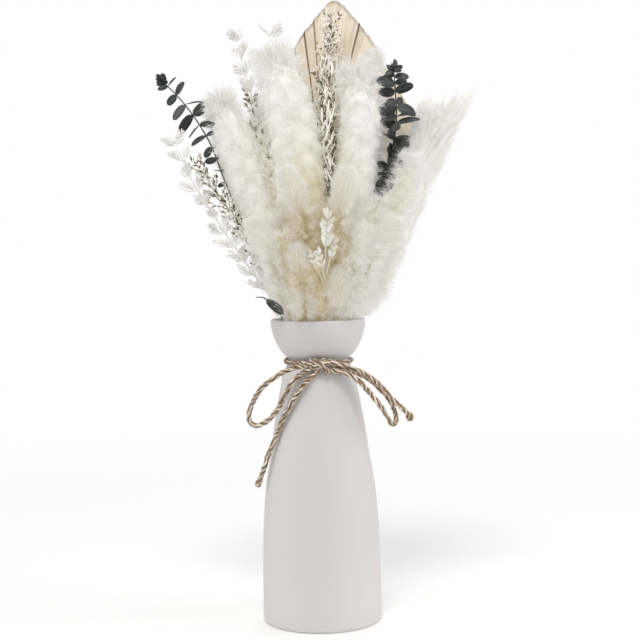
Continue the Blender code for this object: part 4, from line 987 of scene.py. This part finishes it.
def blades(root, way, face, length, width, form, tone):
    # Closed lens-shaped blades, all at once. At share u along a blade and angle a round its section:
    # centre = root + way * length * u + face * bend * length * u^2, across = width / 2 * outline(u) * cos a,
    # lift = thick * outline(u) * sin a + cup * width * outline(u)^2 * cos^2 a,
    # with outline(u) = u^rise * (1 - u)^fall over its largest value.
    root, way, face = (part.reshape(-1, 3) for part in (root, way, face))
    count, rings, around = len(root), form["rings"], form["around"]
    length, width, tone = (np.broadcast_to(np.ravel(part), count)[:, None, None] for part in (length, width, tone))
    u = ((np.arange(rings) + 0.6) / (rings + 0.2))[:, None]
    outline = u ** form["rise"] * (1 - u) ** form["fall"]
    outline = outline / outline.max()
    a = evenTurns(around)
    across = unit(np.cross(face, way))
    face = np.cross(way, across)
    x = width / 2 * outline * np.cos(a)
    z = (form["thick"] * outline * np.sin(a) + form["cup"] * width * outline ** 2 * np.cos(a) ** 2
         + form["bend"] * length * u ** 2)
    moves = zip((across, way, face), (x, length * u, z))
    points = sum((part[:, None, None] * far[..., None] for part, far in moves), root[:, None, None])
    points = points.reshape(count, -1, 3)
    tip = root + way * length[:, 0] + face * form["bend"] * length[:, 0]
    points = np.concatenate([points, root[:, None], tip[:, None]], axis=1)
    first = np.arange(count)[:, None, None] * points.shape[1]
    look = np.concatenate([layers(tone, u, 0.5 + 0.5 * np.cos(a)).reshape(count, -1, 3),
                           layers(tone[:, 0], [0, 1], 0.5)], axis=1)
    return (points.reshape(-1, 3), (gridQuads(rings, around) + first).reshape(-1, 4),
            (poleTris(rings, around) + first).reshape(-1, 3), look.reshape(-1, 3))


def turnedBy(way, face, amount, draw):
    # Rolls each blade about its own direction towards facing front or back, by the amount and at random.
    front = np.where(draw.uniform(size=(len(face), 1)) < 0.8, -1, 1) * np.array([0, 1, 0.15])
    face = unit(face * (1 - amount) + front * amount + draw.normal(0, 0.3, face.shape))
    return unit(face - way * (face * way).sum(axis=-1, keepdims=True))


def pairDirections(line, shares, turns, lean):
    # For each of a pair at a share of the line: its place, its way out, opposite to the other's and leaning
    # from the line's own way, and its face.
    turns = layers(turns, turns + math.pi).reshape(-1, 1)
    place, way, out = offLine(line, np.repeat(shares * lengthAlong(line)[-1], 2), turns)
    tilt = np.repeat(np.radians(lean), 2)[:, None]
    return place, unit(between(way, out, tilt)), unit(between(-out, way, tilt))


eucalyptus = {
    # each branch's bud is (leaves, length, lean along); sizes are shares of the branch and of the length
    "left": {"route": [(-32.6, -8, 227), (-42.6, -9, 253), (-52.3, -9, 276), (-60.5, -8, 296), (-67.5, -7, 315),
                       (-75.2, -6, 329), (-89.4, -5, 348), (-99.5, -4, 358)], "pairs": 18, "start": 0.12,
             "length": 14.5, "width": 0.54, "lean": (60, 92), "facing": 0.55, "crowd": 0.95, "seed": 101,
             "sizes": ((0.1, 0.5, 0.66, 0.78, 0.88, 1), (0.4, 0.45, 0.5, 1.05, 0.9, 0.4)), "bud": (24, 4.8, 0.5)},
    "right": {"route": [(29.4, -12, 246), (39.6, -14, 275), (45.8, -14, 294), (50.7, -13, 314), (53, -12, 331),
                        (52.3, -12, 350), (51.6, -12, 363)], "pairs": 17, "start": 0.42,
              "length": 15, "width": 0.58, "lean": (34, 92), "facing": 0.62, "crowd": 0.9, "seed": 104,
              "sizes": ((0.4, 0.6, 0.74, 0.82, 0.93, 1), (0.95, 1.05, 1.05, 1, 0.82, 0.4)),
              "bud": (13, 6.4, 0.12), "crossedBelow": 0.77, "forwardBelow": 0.74},
    "leaf": bladeForm(8, 8, 0.42, 0.46, 0.22, 0.1, -0.08), "petiole": 0.2, "turn": 0.55, "end": 0.965,
    "forward": (0.1, -0.85, 0.25), "budWidth": 0.62,  # of a bud leaf's length
    # one leaf and a bare twig over the vase's rim: (root, tip, width)
    "rimLeaf": ((-22, -25.5, 205.5), (-32.5, -27.5, 215), 6), "rimLevel": 206,
    "rimTwig": [(-31, -26, 214), (-35, -27, 216.4), (-39.5, -27, 216.6)],
}


def rimLeaf(line):
    # The lowest leaf, on a petiole that leaves the stem just above the rim, with a bare twig beside it.
    root, tip, width = (np.array(part, float) for part in eucalyptus["rimLeaf"])
    way = unit(tip - root)
    face = unit(np.cross(way, np.cross((0.2, -1, 0.3), way)))
    stem = line[np.abs(line[:, 2] - eucalyptus["rimLevel"]).argmin()]
    petiole = smoothLine([stem, (stem + root) / 2 + (1, 0, -0.6), root], 16)
    twig = smoothLine(eucalyptus["rimTwig"], 12)
    return [blades(root, way, face, np.linalg.norm(tip - root), width, eucalyptus["leaf"], 0.25),
            roundTube(petiole, 0.55, 6), roundTube(twig, np.linspace(0.5, 0.3, 12), 6)]


def growEucalyptus():
    # Pairs of oval leaves, each pair turned from the one below, rolled to show their blades, and a
    # tight bud of small leaves at the tip.
    leaf = eucalyptus["leaf"]
    for name, branch, draw, line, upper in eachStem("eucalyptus", eucalyptus, ("left", "right")):
        count, start = branch["pairs"], branch["start"]
        shares = start + (eucalyptus["end"] - start) * np.linspace(0, 1, count) ** branch["crowd"]
        turns = (np.arange(count) % 2) * eucalyptus["turn"] + draw.uniform(-0.4, 0.4, count)
        turns = turns + np.where(shares < branch.get("crossedBelow", 0), 0.75, 0)
        lean = np.interp(shares, (start, 0.8), branch["lean"]) + draw.uniform(-16, 16, count)
        place, way, face = pairDirections(upper, shares, turns, lean)
        size = branch["length"] * np.repeat(np.interp(shares, *branch["sizes"]), 2)
        size *= draw.uniform(0.72, 1.1, 2 * count)
        root = place + way * eucalyptus["petiole"]
        forward = np.repeat(np.clip((branch.get("forwardBelow", 0) - shares) / 0.06, 0, 1), 2)[:, None]
        way = unit(way + draw.normal(0, 0.22, way.shape) + forward * eucalyptus["forward"])
        face = turnedBy(way, face, branch["facing"], draw)
        wide = size * branch["width"] * draw.uniform(0.85, 1.15, 2 * count)
        leaves = blades(root, way, face, size, wide, leaf, draw.uniform(0, 1, 2 * count))
        count, length, along = branch["bud"]
        end = unit(upper[-1:] - upper[-8:-7])
        way = unit(end * along + unit(draw.normal(size=(count, 3))) * 0.9)
        face = turnedBy(way, unit(np.cross(way, end)), 0.5, draw)
        size = length * draw.uniform(0.7, 1.15, count)
        root = upper[-1:] - end * draw.uniform(-1, 3.5, (count, 1))
        bud = blades(root, way, face, size, size * eucalyptus["budWidth"], leaf, draw.uniform(0, 1, count))
        parts = [stemTube(line, 0.9, 0.4, 0.9), leaves, bud] + (rimLeaf(line) if name == "left" else [])
        putMesh("eucalyptus_" + name + "_leaves", parts, "eucalyptus", "eucalyptus_" + name)


growEucalyptus()
print("eucalyptus is grown")

bleached = {
    "outer": {"route": [(-36, -15, 224), (-51.2, -15, 246), (-67.8, -13, 272), (-81.9, -11, 296),
                       (-90.5, -9, 316)],
              "pairs": 11, "start": 0.14, "seed": 100},
    "top": {"route": [(-20.1, 7, 266), (-30.1, 8, 306), (-38.9, 8.5, 340), (-45.3, 9, 363), (-50.4, 10, 385)],
            "pairs": 10, "start": 0.42, "seed": 101},
    "behind": {"route": [(-15.9, 9.5, 286), (-21.8, 11, 333), (-25.9, 13, 367), (-27.6, 13, 388)],
               "pairs": 8, "start": 0.5, "seed": 102},
    "front": {"route": [(4.3, -31, 226), (5.4, -34, 245), (6.9, -35, 267)], "seed": 103,
              # shoots with broad lobes: (foot, tip, pairs of lobes, size of the lobes)
              "shoots": [((5.4, -35.2, 243), (7.2, -37, 267.5), 5, 1.08),
                         ((4.2, -33.5, 224), (-3, -35, 243), 3, 0.72),
                         ((4.8, -33.5, 226), (1.6, -35.5, 244.5), 3, 0.75),
                         ((6, -34, 231), (11.5, -35.5, 252), 3, 0.78)],
              "lobeLength": 7.4, "lobeWidth": 3.3, "lean": 34},
    "lobe": bladeForm(5, 6, 0.42, 0.4, 0.3, 0.2, 0.22), "twigForm": bladeForm(3, 5, 0.15, 0.3, 0.26, 0, 0),
    "twig": 12.5, "twigWidth": 0.6, "lobeLength": 6.4, "lobeWidth": 2.5, "lobesPerTwig": 8, "lobeTurn": 0.48,
    "facing": 0.7, "endLength": 4.6, "endWidth": 2, "endSpread": [(0, 0, 0), (0.45, 0, 0.1), (-0.45, 0, 0.1)],
}


def growBleached():
    # Opposite fronds up the stem. Each is a twig with oblong lobes to its left and right in turn, which get
    # shorter towards its end, where one lobe goes straight on.
    lobe = bleached["lobe"]
    for name, spray, draw, line, upper in eachStem("bleached", bleached, ("outer", "top", "behind")):
        count, each = spray["pairs"], bleached["lobesPerTwig"]
        shares = spray["start"] + (0.99 - spray["start"]) * np.linspace(0, 1, count)
        turns = np.arange(count) * 2.2 + draw.uniform(-0.4, 0.4, count)
        place, way, face = pairDirections(upper, shares, turns, draw.uniform(20, 42, count))
        face = turnedBy(way, face, bleached["facing"], draw)
        twig = bleached["twig"] * (1.05 - 0.35 * np.repeat(shares, 2)) * draw.uniform(0.75, 1.15, 2 * count)
        s = np.linspace(0.22, 1, each)
        root = place[:, None] + way[:, None] * (twig[:, None] * s)[..., None]
        turnOut = np.where(np.arange(each) % 2, 1, -1) * np.append(np.full(each - 1, bleached["lobeTurn"]), 0)
        aside = np.cross(face, way)[:, None] * turnOut[:, None]
        lobeWay = unit(way[:, None] + aside + draw.normal(0, 0.14, root.shape))
        lobeFace = unit(face[:, None] + draw.normal(0, 0.3, root.shape))
        taper = np.tile(1.1 - 0.4 * s, 2 * count)
        length, width = (bleached[key] * taper * draw.uniform(0.8, 1.2, len(taper))
                         for key in ("lobeLength", "lobeWidth"))
        end = unit(upper[-1:] - upper[-8:-7]) + bleached["endSpread"]
        parts = [blades(root, lobeWay, lobeFace, length, width, lobe, draw.uniform(0, 1, len(taper))),
                 blades(place, way, face, twig * 1.1, bleached["twigWidth"], bleached["twigForm"], 0.3),
                 stemTube(line, 0.75, 0.35),
                 blades(np.repeat(upper[-1:], len(end), axis=0), unit(end), unit(np.cross(end, (0.2, 1, 0.3))),
                        bleached["endLength"], bleached["endWidth"], lobe, 0.6)]
        putMesh("bleached_" + name + "_leaves", parts, "bleached", "bleached_" + name)


def growFrontSpray():
    # Broad lobes in opposite pairs along the upper part of each shoot, shorter towards its tip, where one
    # goes straight on.
    _, spray, draw, line, _ = next(eachStem("bleached", bleached, ["front"]))
    parts = [stemTube(line, 0.75, 0.4)]
    for foot, tip, pairs, large in spray["shoots"]:
        shoot = readEvenly(np.array([foot, tip], float), 20)
        shares, count = np.linspace(0.9 - 0.135 * pairs, 0.93, pairs), 2 * pairs + 1
        place, way, face = pairDirections(shoot, shares, draw.uniform(-0.55, 0.55, pairs),
                                          spray["lean"] + draw.uniform(-14, 12, pairs))
        place, way = np.append(place, shoot[-1:], axis=0), np.append(way, unit(shoot[-1:] - shoot[:1]), axis=0)
        face = turnedBy(way, np.append(face, [(0, -1, 0.2)], axis=0), 0.85, draw)
        size = large * np.append(np.repeat(1.2 - 0.45 * shares, 2), 0.8) * draw.uniform(0.85, 1.15, count)
        parts += [blades(place, way, face, spray["lobeLength"] * size, spray["lobeWidth"] * size, bleached["lobe"],
                         draw.uniform(0, 0.7, count)), roundTube(shoot, np.linspace(0.6, 0.35, 20), 6)]
    putMesh("bleached_front_leaves", parts, "cream", "bleached_front")


growBleached()
growFrontSpray()
print("bleached sprays are grown")

caspia = {
    "centre": {"route": [(6.7, 0, 282), (7.2, 1, 312), (7.7, 3, 345), (9.5, 7, 372), (12.6, 11, 393)],
               "sprigs": 150, "reach": 12, "start": 0.3, "pale": (0.08, 0.8), "seed": 110,
               "strips": {"count": 110, "between": (0.42, 0.86), "length": (6, 12.5), "width": 1.35, "reach": 8.5,
                          "spread": 0.36, "forward": -5}},
    "left": {"route": [(-33.5, -17, 239), (-48.6, -17.5, 263), (-65.6, -13, 286), (-77, -11, 304)],
             "sprigs": 60, "reach": 9.5, "start": 0.25, "pale": (0.66, 0.66), "seed": 111},
    "between": {"route": [(-21.1, 0, 276), (-28.7, 0, 299), (-36.2, 0.5, 326), (-41.8, 2, 346)],
                "sprigs": 40, "reach": 8, "start": 0.4, "pale": (0.6, 0.6), "seed": 112,
                "strips": {"count": 14, "between": (0.5, 0.72), "length": (5, 8.5), "width": 1.5, "reach": 4.5,
                           "spread": 0.5, "forward": -6.5}},
    "floret": bladeForm(2, 5, 0.35, 0.6, 0.3, 0.25, 0.1), "twigForm": bladeForm(3, 4, 0.1, 0.2, 0.14, 0, 0),
    "stripForm": bladeForm(6, 4, 0.3, 0.45, 0.12, 0.12, 0), "stripBend": 0.28,
    "perSprig": 12, "floretLength": 2.8, "floretWidth": 1.25, "twigWidth": 0.3, "longer": 1.35,
}


def paperStrips(line, form, draw):
    # Long curled cream strips that stand round the stem, half of them bent each way.
    parts, count = [], form["count"] // 2
    for bend in (caspia["stripBend"], -caspia["stripBend"]):
        at = draw.uniform(*form["between"], count) * lengthAlong(line)[-1]
        place, way, out = offLine(line, at, draw.uniform(0, 2 * math.pi, (count, 1)))
        root = place + out * form["reach"] * draw.uniform(0.1, 1, (count, 1)) + (0, form["forward"], 0)
        strip = unit(way + form["spread"] * draw.normal(size=way.shape))
        face = turnedBy(strip, out, 0.6, draw)
        length, width = draw.uniform(*form["length"], count), form["width"] * draw.uniform(0.7, 1.3, count)
        shape = {**caspia["stripForm"], "bend": bend}
        parts.append(blades(root, strip, face, length, width, shape, draw.uniform(0.8, 1.1, count)))
        parts[-1][3][:, 1] = 1
    return parts


def growCaspia():
    # Sprigs leave the stem by the golden angle; each is a bent twig with small pointed florets along it.
    for name, spray, draw, line, upper in eachStem("caspia", caspia, ("centre", "left", "between")):
        count, each = spray["sprigs"], caspia["perSprig"]
        total, run = count * each, lengthAlong(upper)[-1]
        at = (spray["start"] + (1 - spray["start"]) * (np.arange(count) + draw.uniform(0, 1, count)) / count) * run
        place, way, out = offLine(upper, at, (np.arange(count) * goldenAngle)[:, None])
        tilt = np.radians(draw.uniform(24, 52, (count, 1)))
        size = spray["reach"] * (1.15 - 0.5 * (at / run)) * draw.uniform(0.6, 1.15, count) * caspia["longer"]
        start = between(way, out, tilt)
        s = np.sort(draw.uniform(0.3, 1, (count, each, 1)), axis=1)
        root = place[:, None] + size[:, None, None] * (start[:, None] * s + 0.18 * way[:, None] * s ** 2)
        floretWay = unit(start[:, None] + 0.95 * unit(draw.normal(size=root.shape)) + 0.4 * way[:, None])
        face = unit(np.cross(floretWay, draw.normal(size=root.shape)))
        pale = np.repeat(np.interp(at / run, (0.5, 0.85), spray["pale"]), each)
        length = caspia["floretLength"] * draw.uniform(0.6, 1.35, total)
        width = caspia["floretWidth"] * draw.uniform(0.7, 1.3, total)
        tone = np.where(draw.uniform(size=total) < pale, 0.95, 0.2) + draw.normal(0, 0.12, total)
        twigs = blades(place, unit(start + 0.12 * way), out, size * 1.05, caspia["twigWidth"], caspia["twigForm"],
                       0.35)
        stem = stemTube(line, 0.75, 0.3)
        twigs[3][:, 1], stem[3][:, 1] = 0.3, 0.45
        parts = [blades(root, floretWay, face, length, width, caspia["floret"], tone), twigs, stem]
        if "strips" in spray:
            parts += paperStrips(upper, spray["strips"], draw)
        putMesh("caspia_" + name + "_sprigs", parts, "caspia", "caspia_" + name)


growCaspia()
print("caspia is grown")

palm = {
    "route": [(7.5, 12, 238), (9.1, 14.5, 262), (10.6, 15.8, 280)], "hub": (9.1, 14.5, 262),
    "tilt": -2.6, "back": 4.4, "root": 2, "thick": 0.45, "rows": 40,
    # the grooves between the pleats: (angle at the trimmed edge, strength of its depth and its painted shade)
    "grooves": [(-43, 0.6), (-39, 0.6), (-35, 0.6), (-31, 0.6), (-27, 0.6), (-23, 0.6), (-19.5, 0.6),
                (-16.2, 0.5), (-12.9, 1), (-9.3, 1), (-6.2, 0.9), (-4.2, 0.5), (-2.8, 0.2), (-0.3, 0.3),
                (2, 0.55), (4.6, 0.12), (6.7, 1), (7.9, 0.6), (9.7, 0.45), (12.6, 0.5), (15.8, 0.6), (19.4, 0.6),
                (23.2, 0.6), (27.2, 0.6), (31.2, 0.6), (35.2, 0.6), (39.2, 0.6), (43, 0.6)],
    "grooveWidth": 0.5, "grooveDepth": 2.4, "pleatTilt": 0.9, "pleatCrown": 0.5, "perPleat": 4,
    "bend": (12, 28), "length": 150, "span": 84,  # the bend starts at an angle and goes over another
    "trim": [(-43, 80), (-36, 83), (-26, 98), (-20, 109), (-14.2, 122), (-12.9, 121.5), (-10.4, 128.5),
             (-9.4, 130), (-9.2, 131.5), (-6.3, 137.2), (-6.1, 139), (-4.3, 143), (-4.1, 144.2), (-2.9, 146.4),
             (-2.7, 148.3), (-1.4, 151), (0.4, 151), (2.1, 147.3), (3.9, 142.9), (6.4, 137.3), (9.1, 131.4),
             (12.2, 125.2), (15, 119), (17, 113.5), (25, 102), (35.6, 91.6), (40, 86.6), (43, 80)],
    "petiole": (25, 1.7, 0.7),  # it thins from one radius to the other over its last length
}


def foldPalm():
    # Blade point at angle g and distance r from the hub: hub + r * (up * cos g + across * sin g) + normal * lift.
    # lift = r / 150 * (tilt * (w - 1/2) + crown * 4 w (1 - w) - depth * groove), where w runs 0 to 1 over a pleat
    # and groove is 1 on a groove's line and 0 past its half width. Right of the middle the pleats bend:
    # g = edge angle * (1 - bent * (1 - r / edge)).
    tilt, back = math.radians(palm["tilt"]), math.radians(palm["back"])
    up = np.array([-math.sin(tilt) * math.cos(back), math.sin(back), math.cos(tilt) * math.cos(back)])
    across = unit(np.array([math.cos(tilt), 0, math.sin(tilt)]))
    normal = np.cross(up, across)
    (grooves, strengths), half = np.array(palm["grooves"], float).T, palm["grooveWidth"]
    spans = np.diff(grooves)[:, None]
    near = np.minimum(1.8 * half, 0.35 * spans)
    offsets = np.concatenate([0 * spans, 0.3 * near, 0.6 * near,
                              near + (spans - 2 * near) * np.linspace(0, 1, palm["perPleat"] + 2),
                              spans - 0.6 * near, spans - 0.3 * near], axis=1)
    angle = np.append((grooves[:-1, None] + offsets).ravel(), grooves[-1])
    pleat = np.clip(np.searchsorted(grooves, angle, side="right") - 1, 0, len(grooves) - 2)
    w = (angle - grooves[pleat]) / np.diff(grooves)[pleat]
    away = np.abs(angle[:, None] - grooves)
    strength, away = strengths[away.argmin(axis=1)], away.min(axis=1)
    groove = palm["grooveDepth"] * strength * np.clip(1 - away / half, 0, 1)
    lift = palm["pleatTilt"] * (w - 0.5) + palm["pleatCrown"] * 4 * w * (1 - w) - groove
    trim = np.interp(angle, *zip(*palm["trim"]))
    share = np.linspace(0, 1, palm["rows"])[:, None]
    r = palm["root"] + (trim - palm["root"]) * share
    bendFrom, bendOver = palm["bend"]
    bent = np.where(angle > 0, np.clip(1 - (angle - bendFrom) / bendOver, 0, 1), 0)
    g = np.radians(angle * (1 - bent * (1 - share)))[..., None]
    wave = 0.5 * np.sin(share * 5 + pleat * 1.7)
    flat = np.array(palm["hub"]) + r[..., None] * between(up, across, g)
    rise = lift * r / palm["length"] * (0.4 + 0.6 * share) + wave * share
    sheet = np.stack([flat + normal * (rise + side * palm["thick"] / 2 * (1 - 0.5 * share))[..., None]
                      for side in (-1, 1)])
    count = r.size
    number = np.arange(count).reshape(r.shape)
    edge = np.concatenate([number[0], number[1:, -1], number[-1, -2::-1], number[-2:0:-1, 0]])
    beside = np.roll(edge, -1)
    front = gridQuads(*r.shape, False)
    faces = np.concatenate([front[:, ::-1], front + count, layers(edge + count, beside + count, beside, edge)])
    # How strongly the palm's finish paints shade in a groove and a highlight beside it.
    grooveShadeAndHighlight = strength * np.clip(1 - away / (2 * half), 0, 1)
    look = layers(angle / palm["span"] + 0.5, r / palm["length"], 1 - grooveShadeAndHighlight)
    blade = (sheet.reshape(-1, 3), faces, np.zeros((0, 3), int), np.tile(look.reshape(-1, 3), (2, 1)))
    line = stemLine("palm_spear", palm["route"])
    run, (last, wide, thin) = lengthAlong(line), palm["petiole"]
    petiole = roundTube(line[::4], np.interp(run, (0, run[-1] - last, run[-1]), (wide, wide, thin))[::4], 9, 1)
    putMesh("palm_blade", [blade, petiole], "palm", "palm_spear")


foldPalm()
print("palm is folded")
